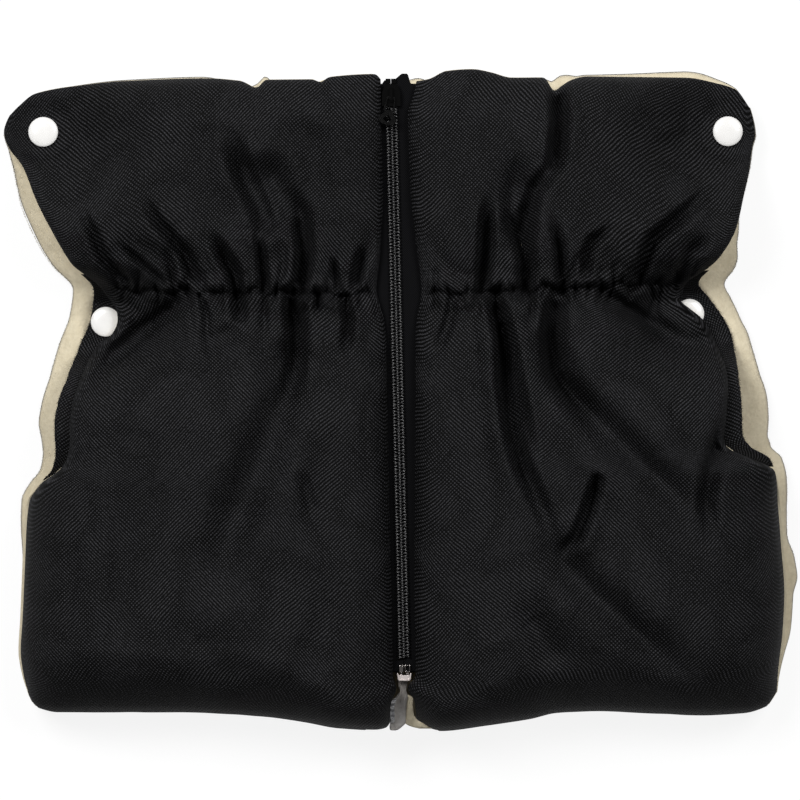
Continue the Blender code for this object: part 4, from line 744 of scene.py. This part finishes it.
def smooth_edges(count):
    """Shares from 0 to 1 that crowd towards both ends."""
    even = np.linspace(0.0, 1.0, count)
    return mix(even, (1.0 - np.cos(math.pi * even)) / 2, 0.6)


def seat_share(x, rise):
    """1 away from the snaps and 0 on their flat seats."""
    share = np.ones(x.shape)
    for half, sign in SIGN.items():
        for reach, snap_rise in SNAPS[half].values():
            away = np.hypot(x - sign * reach, rise - snap_rise)
            share = share * smooth_step((away - 7.5) / 8.0)
    return share


def make_back_panel():
    """Padded back, black cloth underneath and at its edges."""
    x, rise, from_side, from_lower, from_top = back_plan()
    ease = round_off(from_side, 16.0) * round_off(from_top, 14.0)
    fold = round_off(from_lower, 17.0)
    base = np.where(fold >= 1.0, mix(BACK_EDGE_LIFT, 0.0, ease), mix(FOLD_EDGE_LIFT, 0.0, fold))
    inside = smooth_step(np.minimum(np.minimum(from_side, from_top), from_lower) / 12.0)
    away = rise - mix(WAIST["left"], WAIST["right"], (x + 160.0) / 320.0)
    pucker = np.zeros(x.shape)
    for k, (length, reach_out, size) in enumerate(((6.0, 8.0, 1.2), (11.0, 18.0, 1.4), (23.0, 40.0, 1.2))):
        wander = value_noise(x / 15.0, away / 25.0 + 5.0 * k, 90 + k) * 0.5 * length
        wave = np.abs(np.sin(math.pi * (x + wander) / length)) ** 0.7
        pucker = pucker + size * (1.0 - wave) * np.exp(-np.abs(away) / reach_out)
    pucker = pucker + 2.2 * np.exp(-((away / 3.0) ** 2))
    pucker = pucker + 0.5 * (1.0 + value_noise(x / 24.0, rise / 30.0, 95))
    seats = seat_share(x, rise)
    under = base + inside * pucker * seats
    under = mix(2.4, under, mix(1.0, seats, inside))
    top = back_top_level(x, rise, from_side, from_lower, from_top) - FLEECE - 0.3
    bulge = round_off(np.minimum(np.minimum(from_side, from_top), from_lower), 4.0)
    upper, lower = two_sides(x, rise, (top + under) / 2, top, under, bulge)
    piece = shell_mesh("back_panel", upper, lower, cloth_lengths(calm(lower)))
    subdivide(piece)
    return piece


def back_top_level(x, rise, from_side, from_lower, from_top):
    """Level of the back fleece's face: lower along its edges and on the snaps' seats."""
    ease = round_off(from_side, 16.0) * round_off(from_top, 14.0)
    edge = curve(((0.0, BACK_TOP), (70.0, BACK_EDGE_TOP)), from_lower)
    level = mix(edge, BACK_TOP, ease)
    return mix(7.4, level, seat_share(x, rise))


def make_back_fleece():
    """Fleece lining of the back panel, with a soft wavy edge."""
    x, rise, from_side, from_lower, from_top = back_plan(220, 300)
    level = back_top_level(x, rise, from_side, from_lower, from_top)
    edge = np.minimum(np.minimum(from_side, from_top), from_lower)
    fluff = 0.3 * value_noise(x / 2.1, rise / 2.1, 31) + 0.35 * value_noise(x / 6.5, rise / 6.5, 32)
    seats = seat_share(x, rise)
    soft = round_off(edge, 1.6)
    top = level + (fluff - 0.2) * seats * smooth_step(edge / 2.0)
    upper, lower = two_sides(x, rise, level - FLEECE / 2, top, level - FLEECE, soft)
    return shell_mesh("back_fleece", upper, lower, cloth_lengths(upper))


def make_fold_strip(half):
    """The shell's turn round the lower edge, from the back panel to the front half."""
    knots = np.array(LOWER[half][2:])
    steps = np.linspace(0.0, 1.0, 160)
    reach = mix(knots[0][0], knots[-1][0] - 0.4, 1.0 - (1.0 - steps) ** 1.6)
    edge = np.column_stack([reach, curve(LOWER[half], reach)])
    along = np.gradient(edge, axis=0)
    along /= np.linalg.norm(along, axis=1)[:, None]
    outward = np.column_stack([along[:, 1], -along[:, 0]])
    turns = np.radians(np.linspace(-86.0, 86.0, 17))
    wave = 0.5 * value_noise(reach / 9.0, 0.5, 71)
    tuck = 2.5 * (1.0 - smooth_step(np.minimum(reach - reach[0], reach[-1] - reach) / 5.0))
    grids = []
    for depth in (0.0, 0.9):
        bulge = (1.1 - depth + 0.3 * wave[:, None]) * np.cos(turns) - 0.8 - tuck[:, None]
        level = 12.1 + (6.4 - 0.8 * depth) * np.sin(turns)
        plane = edge[:, None, :] + outward[:, None, :] * bulge[..., None]
        level = np.broadcast_to(level, bulge.shape)
        grids.append(np.stack([SIGN[half] * plane[..., 0], plane[..., 1], level], axis=-1))
    return sheet_mesh("fold_strip_" + half, grids[0], grids[1], cloth_lengths(grids[0]))


def make_patch(name, rows, level, thickness, seed):
    """Small soft tongue of cloth. Rows are (rise, left x, right x), from its upper end down."""
    rows = np.array(rows, float)
    t = np.linspace(0.0, 1.0, 40)
    places = np.linspace(0.0, 1.0, len(rows))
    rise, left, right = (curve(list(zip(places, rows[:, k])), t)[:, None] for k in range(3))
    u = smooth_edges(24)[None, :]
    x, rise = np.broadcast_arrays(mix(left, right, u), rise)
    edge = np.minimum(np.minimum(u, 1.0 - u) * (right - left), (1.0 - t[:, None]) * 12.0)
    dome = round_off(edge, 2.2)
    middle = level(rise) + 0.35 * value_noise(x / 1.7, rise / 3.1, seed) * dome
    upper, lower = two_sides(x, rise, middle, middle + thickness / 2, middle - thickness / 2, dome)
    return sheet_mesh(name, upper, lower, cloth_lengths(upper))


# Spread of the loose fibres' directions along the edge that they stand on
SPRAY = 0.9


def make_strands(name, roots, outward, count, length, width, seed):
    """Loose fibres along an edge, as thin tapered blades. roots and outward are rows of points and directions."""
    draw = np.random.default_rng(seed)
    at = draw.uniform(0, len(roots) - 1.001, count)
    k = at.astype(int)
    share = (at - k)[:, None]
    root = mix(roots[k], roots[k + 1], share)
    facing = mix(outward[k], outward[k + 1], share)
    tangent = np.cross(facing, (0.0, 0.0, 1.0))
    aim = facing + tangent * draw.normal(0.0, SPRAY, count)[:, None]
    aim = aim + np.array([0.0, 0.0, 1.0]) * draw.normal(0.15, 0.35, count)[:, None]
    aim /= np.linalg.norm(aim, axis=1)[:, None]
    reach = draw.uniform(0.35, 1.0, count)[:, None] * length
    bend = tangent * draw.normal(0.0, 0.35, count)[:, None]
    flat = np.cross(aim, (0.0, 0.0, 1.0))
    flat /= np.maximum(np.linalg.norm(flat, axis=1)[:, None], 1e-6)
    points, faces = [], []
    for n in range(3):
        part = n / 3.0
        centre = root - facing * 0.3 + aim * reach * part + bend * reach * part**2
        points.append(centre - flat * width * (1 - part) / 2)
        points.append(centre + flat * width * (1 - part) / 2)
        points.append(centre + np.array([0.0, 0.0, width * (1 - part)]))
    points.append(root - facing * 0.3 + aim * reach + bend * reach)
    stacked = np.stack(points, axis=1).reshape(-1, 3)
    for k in range(count):
        b = k * 10
        faces.append((b, b + 2, b + 1))
        for n in range(2):
            for i, j in ((0, 1), (1, 2), (2, 0)):
                faces.append((b + 3 * n + i, b + 3 * n + j, b + 3 * n + 3 + j, b + 3 * n + 3 + i))
        faces += [(b + 6 + i, b + 6 + j, b + 9) for i, j in ((0, 1), (1, 2), (2, 0))]
    return make_mesh(name, stacked, faces, outward=False)


def make_facing_fuzz(half):
    """Frayed ends of yarn along the facing's cut edge."""
    rises = np.linspace(134.0, 226.0, 240)
    edge = np.column_stack([SIGN[half] * curve(SIDE[half], rises), rises, edge_level(half, rises) - 0.6])
    outward = np.tile((SIGN[half], 0.0, 0.0), (len(rises), 1))
    return make_strands("facing_fuzz_" + half, edge, outward, 900, 1.9, 0.11, 301 if half == "left" else 302)


def make_fleece_nap(half):
    """Short hairs of the back fleece along its side edge."""
    rises = np.linspace(84.0, 300.0, 500)
    past = curve(SIDE[half], rises) + curve(MARGIN[half], rises)
    flat = np.zeros(len(rises))
    edge = np.column_stack([SIGN[half] * past, rises, flat + BACK_EDGE_TOP - FLEECE / 2])
    outward = np.column_stack([flat + SIGN[half], -np.gradient(past, rises), flat])
    outward /= np.linalg.norm(outward, axis=1)[:, None]
    return make_strands("fleece_nap_" + half, edge, outward, 2600, 1.0, 0.12, 303 if half == "left" else 304)


# Zip


def make_coil(half):
    """Nylon coil: a round filament wound in flattened loops whose heads mesh at the centre line."""
    low, high = node_box("zip_coil_" + half)
    pitch, wire, sides, steps = 1.7, 0.42, 8, 18
    start = node_box("zip_coil_right")[0][1] + (0.0 if half == "left" else pitch / 2)
    turns = int((high[1] - start) / pitch - 0.3)
    t = np.linspace(0.0, turns, turns * steps + 1)
    angle = 2.0 * math.pi * t
    rise = start + pitch * (t + 0.16 * np.sin(angle))
    offset = 1.3 + 1.75 * np.cos(angle)
    z = (low[2] + high[2]) / 2 + ((high[2] - low[2]) / 2 - wire) * np.sin(angle)
    centre = np.column_stack([zip_x(rise) + SIGN[half] * offset, rise, z])
    thick = wire * (1.0 + 0.35 * np.exp(-((offset + 0.3) / 0.5) ** 2))
    return tube("coil_" + half, centre, thick, sides)


def make_tape(half):
    """Woven tape with a round-cornered upper end, under its coil."""
    low, high = node_box("zip_tape_" + half)
    up = np.linspace(0.0, 1.0, 240)[:, None]
    offset = 0.05 + 12.85 * smooth_edges(28)[None, :]
    if half == "left":
        drop = 0.5 + 1.8 * smooth_step((offset - 3.0) / 1.6)
    else:
        drop = 0.2 + 0.85 * np.maximum(5.4 - offset, 0.0) + 5.0 * smooth_step((offset - 8.2) / 1.9)
    rise = mix(low[1], high[1] - drop, up)
    soft = round_off(np.minimum(offset - 0.05, 12.9 - offset), 0.5)
    x = zip_x(rise) + SIGN[half] * offset
    upper, lower = two_sides(x, rise, (low[2] + high[2]) / 2, high[2], low[2], soft)
    return shell_mesh("tape_" + half, upper, lower, cloth_lengths(upper))


def tube(name, centre, radius, sides):
    """Round tube along a line of points, with flat ends. Radius has one value for each point."""
    count = len(centre)
    tangent = np.gradient(centre, axis=0)
    tangent /= np.linalg.norm(tangent, axis=1)[:, None]
    normal = np.zeros_like(centre)
    helper = np.array([0.0, 0.0, 1.0]) if abs(tangent[0][2]) < 0.9 else np.array([1.0, 0.0, 0.0])
    current = np.cross(tangent[0], helper)
    for k in range(count):
        current = current - tangent[k] * (current @ tangent[k])
        current /= np.linalg.norm(current)
        normal[k] = current
    other = np.cross(tangent, normal)
    angle = np.linspace(0.0, 2.0 * math.pi, sides, endpoint=False)
    ring = np.cos(angle)[None, :, None] * normal[:, None] + np.sin(angle)[None, :, None] * other[:, None]
    points = (centre[:, None] + radius[:, None, None] * ring).reshape(-1, 3)
    k, s = np.meshgrid(np.arange(count - 1), np.arange(sides), indexing="ij")
    after = (s + 1) % sides
    quads = np.stack([k * sides + s, k * sides + after, (k + 1) * sides + after, (k + 1) * sides + s], axis=-1)
    faces = quads.reshape(-1, 4).tolist()
    faces.append(list(range(sides))[::-1])
    faces.append([(count - 1) * sides + j for j in range(sides)])
    return make_mesh(name, points, faces)


# Snap fasteners


def lathe(name, node, profile, sides=64):
    """Smooth turned piece on a CAD node's axis. The profile is (radius, height above the node's base) in mm."""
    low, high = node_box(node)
    cx, cy, base = (low[0] + high[0]) / 2, (low[1] + high[1]) / 2, low[2]
    points = [(cx, cy, base + profile[0][1])]
    rings = profile[1:-1]
    for radius, z in rings:
        for k in range(sides):
            a = 2.0 * math.pi * k / sides
            points.append((cx + radius * math.cos(a), cy + radius * math.sin(a), base + z))
    points.append((cx, cy, base + profile[-1][1]))
    last = len(points) - 1
    faces = []
    for k in range(sides):
        after = (k + 1) % sides
        faces.append((0, 1 + after, 1 + k))
        for ring in range(len(rings) - 1):
            a, b = 1 + ring * sides, 1 + (ring + 1) * sides
            faces.append((a + k, a + after, b + after, b + k))
        top = 1 + (len(rings) - 1) * sides
        faces.append((top + k, top + after, last))
    piece = make_mesh(name, points, faces)
    piece.data.set_sharp_from_angle(angle=math.radians(50.0))
    return piece


def cap_profile(node):
    """Domed cap with a rolled rim and its shank, as high as the CAD cap."""
    low, high = node_box(node)
    height = high[2] - low[2]
    base = height - 2.4
    profile = [(0.0, 0.0), (2.0, 0.0), (2.0, base), (6.6, base), (7.1, base + 0.1), (7.42, base + 0.45),
               (7.5, base + 0.85)]
    for k in range(1, 12):
        a = k / 12.0 * math.pi / 2
        profile.append((7.5 * math.cos(a) ** 0.8, base + 0.85 + 1.55 * math.sin(a)))
    return profile + [(0.0, height)]


def prisms(name, blocks):
    """Small pressed metal piece made of upright blocks: (outline as (x, rise) points, low level, high level)."""
    points, faces = [], []
    for outline, low, high in blocks:
        first, count = len(points), len(outline)
        points += [(x, rise, z) for z in (low, high) for x, rise in outline]
        faces.append([first + k for k in reversed(range(count))])
        faces.append([first + count + k for k in range(count)])
        for k in range(count):
            after = (k + 1) % count
            faces.append([first + k, first + after, first + count + after, first + count + k])
    return make_mesh(name, points, faces)


def make_retainer_box():
    """Box at the zip's end: a floor, a lower wall and two ears that lean outwards."""
    (left, base, bottom), (right, end, top) = node_box("zip_retainer_box")
    cx, tall = (left + right) / 2, end - base
    blocks = []
    for half_width, low, high, level in ((2.8, 0.2, 2.8, top - 0.7), (3.1, 0.0, 0.75, top)):
        corners = ((-half_width, low), (half_width, low), (half_width, high), (-half_width, high))
        blocks.append(([(cx + x, base + rise) for x, rise in corners], bottom, level))
    for side in SIGN.values():
        ear = ((3.1, 0.0), (3.65, tall), (3.1, tall), (2.55, 2.7), (2.45, 0.1))
        blocks.append(([(cx + side * x, base + rise) for x, rise in ear], bottom, top))
    return prisms("retainer_box", blocks)


def make_pin(name):
    """Pin with a narrow foot in the box. The insertion pin is crimped: a frame with the black tape in its middle."""
    (left, foot, bottom), (right, end, top) = node_box("zip_" + name)
    left, right, base = left + 0.1, right + 0.1, foot + 3.4
    middle = (left + right) / 2
    bars = [(middle - 0.45, middle + 0.45, foot, base + 0.2, bottom, bottom + 0.4)]
    if name == "retainer_pin":
        bars.append((left, right - 0.2, base, end, bottom, top))
    else:
        left, right, wall = left - 0.2, right + 0.2, 0.5
        bars += [(left, left + wall, base, end, bottom, top), (right - wall, right, base, end, bottom, top),
                 (left, right, base, base + wall, bottom, top), (left, right, end - wall, end, bottom, top)]
    return prisms(name, [([(a, c), (b, c), (b, d), (a, d)], e, f) for a, b, c, d, e, f in bars])


# Materials


def colour(code):
    """Linear colour from an sRGB hex code."""
    parts = [int(code[k:k + 2], 16) / 255 for k in (1, 3, 5)]
    return (*[p / 12.92 if p <= 0.04045 else ((p + 0.055) / 1.055) ** 2.4 for p in parts], 1.0)


def add(tree, kind, settings=(), links=()):
    """Add one shader node. Settings are its properties or, by name or number, its inputs' values."""
    made = tree.nodes.new("ShaderNode" + kind)
    for key, value in dict(settings).items():
        if isinstance(key, str) and hasattr(made, key):
            setattr(made, key, value)
        else:
            made.inputs[key].default_value = value
    for key, source in dict(links).items():
        tree.links.new(source if isinstance(source, bpy.types.NodeSocket) else source.outputs[0], made.inputs[key])
    return made


def new_material(name):
    made = bpy.data.materials.new(name)
    made.use_nodes = True
    return made, made.node_tree, made.node_tree.nodes["Principled BSDF"]


def colour_and_bump(tree, shader, share, height, dark, light, strength, depth):
    """Drive the shader's colour between two tones by share, and its bump by height."""
    ramp = add(tree, "ValToRGB", (), {0: share})
    for element, code in zip(ramp.color_ramp.elements, (dark, light)):
        element.color = colour(code)
    tree.links.new(ramp.outputs[0], shader.inputs["Base Color"])
    bump = add(tree, "Bump", {"Strength": strength, "Distance": depth}, {"Height": height})
    tree.links.new(bump.outputs[0], shader.inputs["Normal"])
    return ramp


def set_shader(shader, **values):
    for key, value in values.items():
        shader.inputs[key.replace("_", " ")].default_value = value


# One cell of the basket weave in metres, as wide as it looks in the photograph
WEAVE_CELL = 0.00096


def woven_oxford():
    """Polyester oxford, basket woven from textured yarn: dull black with rows of lighter dashes that cross."""
    made, tree, shader = new_material("black polyester oxford")
    place = add(tree, "UVMap", {"uv_map": "cloth"})
    wander = add(tree, "TexNoise", {"Scale": 60.0, "Detail": 2.0}, {"Vector": place})
    drift = add(tree, "VectorMath", {"operation": "MULTIPLY_ADD", 1: (0.0022, 0.0022, 0.0), 2: (0.0, 0.0, 0.0)},
                {0: wander.outputs["Color"]})
    moved = add(tree, "VectorMath", {"operation": "ADD"}, {0: place, 1: drift})
    split = add(tree, "SeparateXYZ", (), {0: moved})
    waves = []
    for sign in (1.0, -1.0):
        both = add(tree, "Math", {"operation": "MULTIPLY_ADD", 1: sign}, {0: split.outputs[0], 2: split.outputs[1]})
        turn = add(tree, "Math", {"operation": "MULTIPLY", 1: math.pi / WEAVE_CELL}, {0: both})
        waves.append(add(tree, "Math", {"operation": "SINE"}, {0: turn}))
    zones = add(tree, "TexNoise", {"Scale": 24.0, "Detail": 1.0}, {"Vector": place})
    choice = add(tree, "MapRange", {"From Min": 0.4, "From Max": 0.6}, {"Value": zones.outputs[0]})
    rows = add(tree, "Mix", {}, {0: choice, 2: waves[0], 3: waves[1]})
    cross = add(tree, "Math", {"operation": "MULTIPLY"}, {0: waves[0], 1: waves[1]})
    weave = add(tree, "Math", {"operation": "MULTIPLY_ADD", 1: 0.55}, {0: cross, 2: rows})
    fibre = add(tree, "TexNoise", {"Scale": 1500.0, "Detail": 2.0}, {"Vector": place})
    broken = add(tree, "MapRange", {"From Min": 0.3, "From Max": 0.7}, {"Value": fibre.outputs[0]})
    lit = add(tree, "MapRange", {"From Min": -0.3, "From Max": 1.3}, {"Value": weave})
    dash = add(tree, "Math", {"operation": "MULTIPLY"}, {0: lit, 1: broken})
    ramp = colour_and_bump(tree, shader, dash, weave, "#050505", "#454548", 0.5, 0.00016)
    ramp.color_ramp.elements[1].position = 0.75
    set_shader(shader, Roughness=0.8, Specular_IOR_Level=0.08)
    return made


def fleece(name, pale, shade):
    """Polyester fleece, knitted and brushed: a matt nap in small soft tufts. The colour is darker where the tuft noise
    sinks, as the bump does, which is painted shade between the tufts; patches of noise add random tone.
    """
    made, tree, shader = new_material(name)
    place = add(tree, "TexCoord").outputs["Object"]
    tufts = add(tree, "TexNoise", {"Scale": 420.0, "Detail": 4.0, "Roughness": 0.65}, {"Vector": place})
    patches = add(tree, "TexNoise", {"Scale": 60.0, "Detail": 2.0}, {"Vector": place})
    both = add(tree, "Math", {"operation": "MULTIPLY_ADD", 1: 0.6}, {0: patches.outputs[0], 2: tufts.outputs[0]})
    share = add(tree, "MapRange", {"From Min": 0.5, "From Max": 1.1}, {"Value": both})
    colour_and_bump(tree, shader, share, tufts, shade, pale, 0.7, 0.0006)
    set_shader(shader, Roughness=0.95, Specular_IOR_Level=0.15, Sheen_Weight=0.25, Sheen_Roughness=0.5)
    return made


def woven_tape():
    """Zip tape, woven polyester: fine ribs along its length, dull black."""
    made, tree, shader = new_material("black woven zip tape")
    place = add(tree, "TexCoord").outputs["Object"]
    split = add(tree, "SeparateXYZ", (), {0: place})
    waves = []
    for axis, pitch in ((0, 0.0011), (1, 0.0009)):
        turn = add(tree, "Math", {"operation": "MULTIPLY", 1: 2 * math.pi / pitch}, {0: split.outputs[axis]})
        waves.append(add(tree, "Math", {"operation": "SINE"}, {0: turn}))
    weave = add(tree, "Math", {"operation": "MULTIPLY"}, {0: waves[0], 1: waves[1]})
    share = add(tree, "MapRange", {"From Min": -1.0, "From Max": 1.0}, {"Value": weave})
    colour_and_bump(tree, shader, share, weave, "#020202", "#1b1b1d", 0.6, 0.0002)
    set_shader(shader, Roughness=0.85, Specular_IOR_Level=0.03)
    return made


def plain(name, base, other, scale, bump_depth, **values):
    """Hard finish with slight colour drift and fine unevenness, both from noise at the given scale."""
    made, tree, shader = new_material(name)
    place = add(tree, "TexCoord").outputs["Object"]
    noise = add(tree, "TexNoise", {"Scale": scale, "Detail": 3.0}, {"Vector": place})
    colour_and_bump(tree, shader, noise, noise, base, other, 0.4, bump_depth)
    set_shader(shader, **values)
    return made


oxford = woven_oxford()
cream = fleece("cream polyester fleece", "#eadfc4", "#d4c8ac")
tape_cloth = woven_tape()
# Nylon 6 monofilament, extruded and wound: smooth, a narrow bright line along each loop
nylon = plain("black nylon coil", "#080809", "#121213", 900.0, 0.00001, Roughness=0.22, Specular_IOR_Level=0.7)
# Die-cast zinc under black enamel: glossy, with soft orange peel
enamel = plain("black enamel on zinc", "#040404", "#070707", 500.0, 0.00001, Roughness=0.14, Specular_IOR_Level=0.3)
# Pearl white enamel baked on a pressed brass cap: bright and smooth
pearl = plain("pearl white enamel", "#fdfcfa", "#f6f4f1", 300.0, 0.00002, Roughness=0.22, Coat_Weight=0.5,
              Coat_Roughness=0.1)
# Nickel plate on pressed brass: polished on the pins, satin on the box; the box's paler, pinker tone than the pins' is
# painted light
nickel = plain("polished nickel plate", "#dfd9d5", "#c9c3bf", 700.0, 0.00001, Roughness=0.16, Metallic=1.0)
satin_nickel_painted_bright = plain("satin nickel plate, painted brighter", "#f2e9e6", "#ddd2ce", 700.0, 0.00001, Roughness=0.4, Metallic=1.0)
# The pouch's cream brushed lining at the zip's end, given a neutral tone a little darker than the cream fleece: painted
# shade of that lining
shade_painted_fleece = fleece("cream fleece with painted shade", "#dcd8d5", "#b7b0a9")
# Polythene windproof film, blown thin: crinkled; its colour, speckled from dark to near white, is painted glints,
# beside the real glints from its bump and gloss
film = plain("windproof polythene film", "#3a3a3c", "#d9d9dc", 1400.0, 0.0003, Roughness=0.12, Specular_IOR_Level=0.9)

# Pieces

panels = {half: make_panel(half) for half in ("left", "right")}
linings = {half: make_front_lining(half) for half in ("left", "right")}
facings = {half: make_facing_strip(half) for half in ("left", "right")}
back_panel = make_back_panel()
back_fleece = make_back_fleece()
fold_strips = {half: make_fold_strip(half) for half in ("left", "right")}
notch_lining = make_patch(
    "notch_lining", ((28.0, -0.8, 3.4), (24.0, -0.9, 3.3), (21.5, -0.2, 2.9), (18.0, -2.2, 3.6), (14.0, -3.8, 3.0),
                     (10.0, -4.4, 2.8), (5.3, -5.1, 2.6), (3.0, -5.5, 0.8), (1.5, -5.2, -1.2), (1.1, -4.4, -2.4)),
    lambda rise: 31.5 + 0.39 * rise, 2.0, 51)
notch_fleece = make_patch(
    "notch_fleece", ((19.5, 2.4, 3.6), (17.4, 2.2, 6.4), (14.0, 2.4, 6.3), (9.5, 2.2, 6.6), (6.4, 1.8, 8.6),
                     (4.6, 2.4, 11.8), (3.0, 5.5, 14.6), (2.0, 9.5, 16.0)),
    lambda rise: 30.5 + 0.37 * rise, 1.6, 52)
film_edge = make_patch(
    "film_edge", ((17.5, -3.4, -1.8), (15.0, -4.8, -2.6), (12.0, -5.2, -3.0), (8.0, -5.1, -2.9), (4.8, -4.4, -3.2)),
    lambda rise: 33.5 + 0.4 * rise + 0.8 * np.sin(rise * 2.2), 0.3, 53)


def dress(thing, made_of):
    thing.data.materials.clear()
    thing.data.materials.append(made_of)


def finish(piece, made_of, slot, body, *replaced):
    """Give a piece its material, the body that it rides and the CAD nodes that it is drawn for. The slot is not used.
    """
    dress(piece, made_of)
    if body:
        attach(piece, body)
    if replaced:
        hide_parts(*replaced)


def soften_edges(thing, width):
    """Small rounded bevel on every sharp edge. Width is in millimetres."""
    soften = thing.modifiers.new("Soft edges", "BEVEL")
    soften.width = width * MM
    soften.segments = 2
    soften.limit_method = "ANGLE"
    soften.angle_limit = math.radians(35.0)
    thing.data.shade_smooth()
    thing.data.set_sharp_from_angle(angle=math.radians(40.0))


finish(back_panel, oxford, "black_oxford", "back", "back_shell", "back_padding", "back_elastic")
finish(back_fleece, cream, "cream_fleece", "back", "back_lining")
# The lining in the notch wears the cream fleece in painted shade
finish(notch_lining, shade_painted_fleece, "cream_fleece", "front_left")
finish(notch_fleece, cream, "cream_fleece", "front_right")
finish(film_edge, film, "cream_fleece", "front_left")
for piece, node, metal, width, body in (
        # The box's nickel is painted brighter than the pins' nickel
        (make_retainer_box(), "zip_retainer_box", satin_nickel_painted_bright, 0.12, "front_left"),
        (make_pin("retainer_pin"), "zip_retainer_pin", nickel, 0.45, "front_left"),
        (make_pin("insertion_pin"), "zip_insertion_pin", nickel, 0.15, "front_right")):
    finish(piece, metal, "bright_metal", body, node)
    soften_edges(piece, width)
for half in ("left", "right"):
    body = "front_" + half
    finish(fold_strips[half], oxford, "black_oxford", None)
    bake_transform(fold_strips[half])
    finish(make_facing_fuzz(half), oxford, "black_oxford", body)
    finish(make_fleece_nap(half), cream, "cream_fleece", "back")
    panel = panels[half]
    finish(panel, oxford, "black_oxford", body, "front_shell_" + half, "front_padding_" + half, "front_elastic_" + half)
    finish(linings[half], cream, "cream_fleece", body, "front_lining_" + half)
    finish(facings[half], oxford, "black_oxford", body, "opening_facing_" + half)
    tape = make_tape(half)
    finish(tape, tape_cloth, "zip_tape", body, "zip_tape_" + half)
    finish(make_coil(half), nylon, "zip_coil", body, "zip_coil_" + half)
    for place in ("upper", "lower"):
        label = place + "_" + half
        node = "snap_cap_" + label
        finish(lathe("cap_" + label, node, cap_profile(node)), pearl, "pearl_cap", body, node)

for node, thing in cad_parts.items():
    if thing.hide_render:
        continue
    dress(thing, enamel if node.startswith(("zip_slider", "slider", "zip_top_stop")) else nickel)
    soften_edges(thing, 0.18)

# Studio

CAMERA_HEIGHT = 4.0
VIEW_WIDTH = 0.4
LAMP_SIZE = 0.9
LAMP_TARGET = (0.0, 0.0, 0.03)


def make_camera():
    camera = bpy.data.objects.new("camera", bpy.data.cameras.new("camera"))
    bpy.context.scene.collection.objects.link(camera)
    camera.location = (-0.00025, 0.001, CAMERA_HEIGHT)
    camera.data.sensor_width = 36.0
    camera.data.lens = 36.0 * (CAMERA_HEIGHT - 0.03) / VIEW_WIDTH
    camera.data.clip_end = 50.0
    bpy.context.scene.camera = camera


def make_floor():
    """Wide flat floor, white to the camera and in reflections, which keeps the object's soft shadow."""
    size = 6.0
    mesh = bpy.data.meshes.new("floor")
    corners = [(-size, -size, 0.0), (size, -size, 0.0), (size, size, 0.0), (-size, size, 0.0)]
    mesh.from_pydata(corners, [], [(0, 1, 2, 3)])
    floor = bpy.data.objects.new("floor", mesh)
    bpy.context.scene.collection.objects.link(floor)
    made, tree, shader = new_material("white studio floor")
    set_shader(shader, Base_Color=colour("#6c6c6c"), Roughness=0.9)
    ray = add(tree, "LightPath")
    seen = add(tree, "Math", {"operation": "MAXIMUM"},
               {0: ray.outputs["Is Camera Ray"], 1: ray.outputs["Is Glossy Ray"]})
    glow = add(tree, "Emission", {"Color": (1.0, 1.0, 1.0, 1.0), "Strength": 0.88})
    both = add(tree, "AddShader", (), {0: shader, 1: glow})
    mixed = add(tree, "MixShader", (), {0: seen, 1: shader, 2: both})
    tree.links.new(mixed.outputs[0], tree.nodes["Material Output"].inputs["Surface"])
    mesh.materials.append(made)


def make_lamp(name, place, power):
    """Square soft lamp turned towards the object's middle."""
    lamp = bpy.data.lights.new(name, "AREA")
    lamp.shape = "RECTANGLE"
    lamp.size = lamp.size_y = LAMP_SIZE
    lamp.energy = power
    holder = bpy.data.objects.new(name, lamp)
    bpy.context.scene.collection.objects.link(holder)
    holder.location = place
    holder.rotation_euler = (Vector(LAMP_TARGET) - Vector(place)).to_track_quat("-Z", "Y").to_euler()


make_camera()
make_floor()
make_lamp("key", (-0.8, 0.8, 1.8), 31.5)
make_lamp("fill", (0.95, 0.8, 1.9), 22.5)
world = bpy.data.worlds.new("studio")
world.use_nodes = True
set_shader(world.node_tree.nodes["Background"], Color=(1.0, 1.0, 1.0, 1.0), Strength=0.08)
bpy.context.scene.world = world
bpy.context.scene.view_settings.view_transform = "Standard"
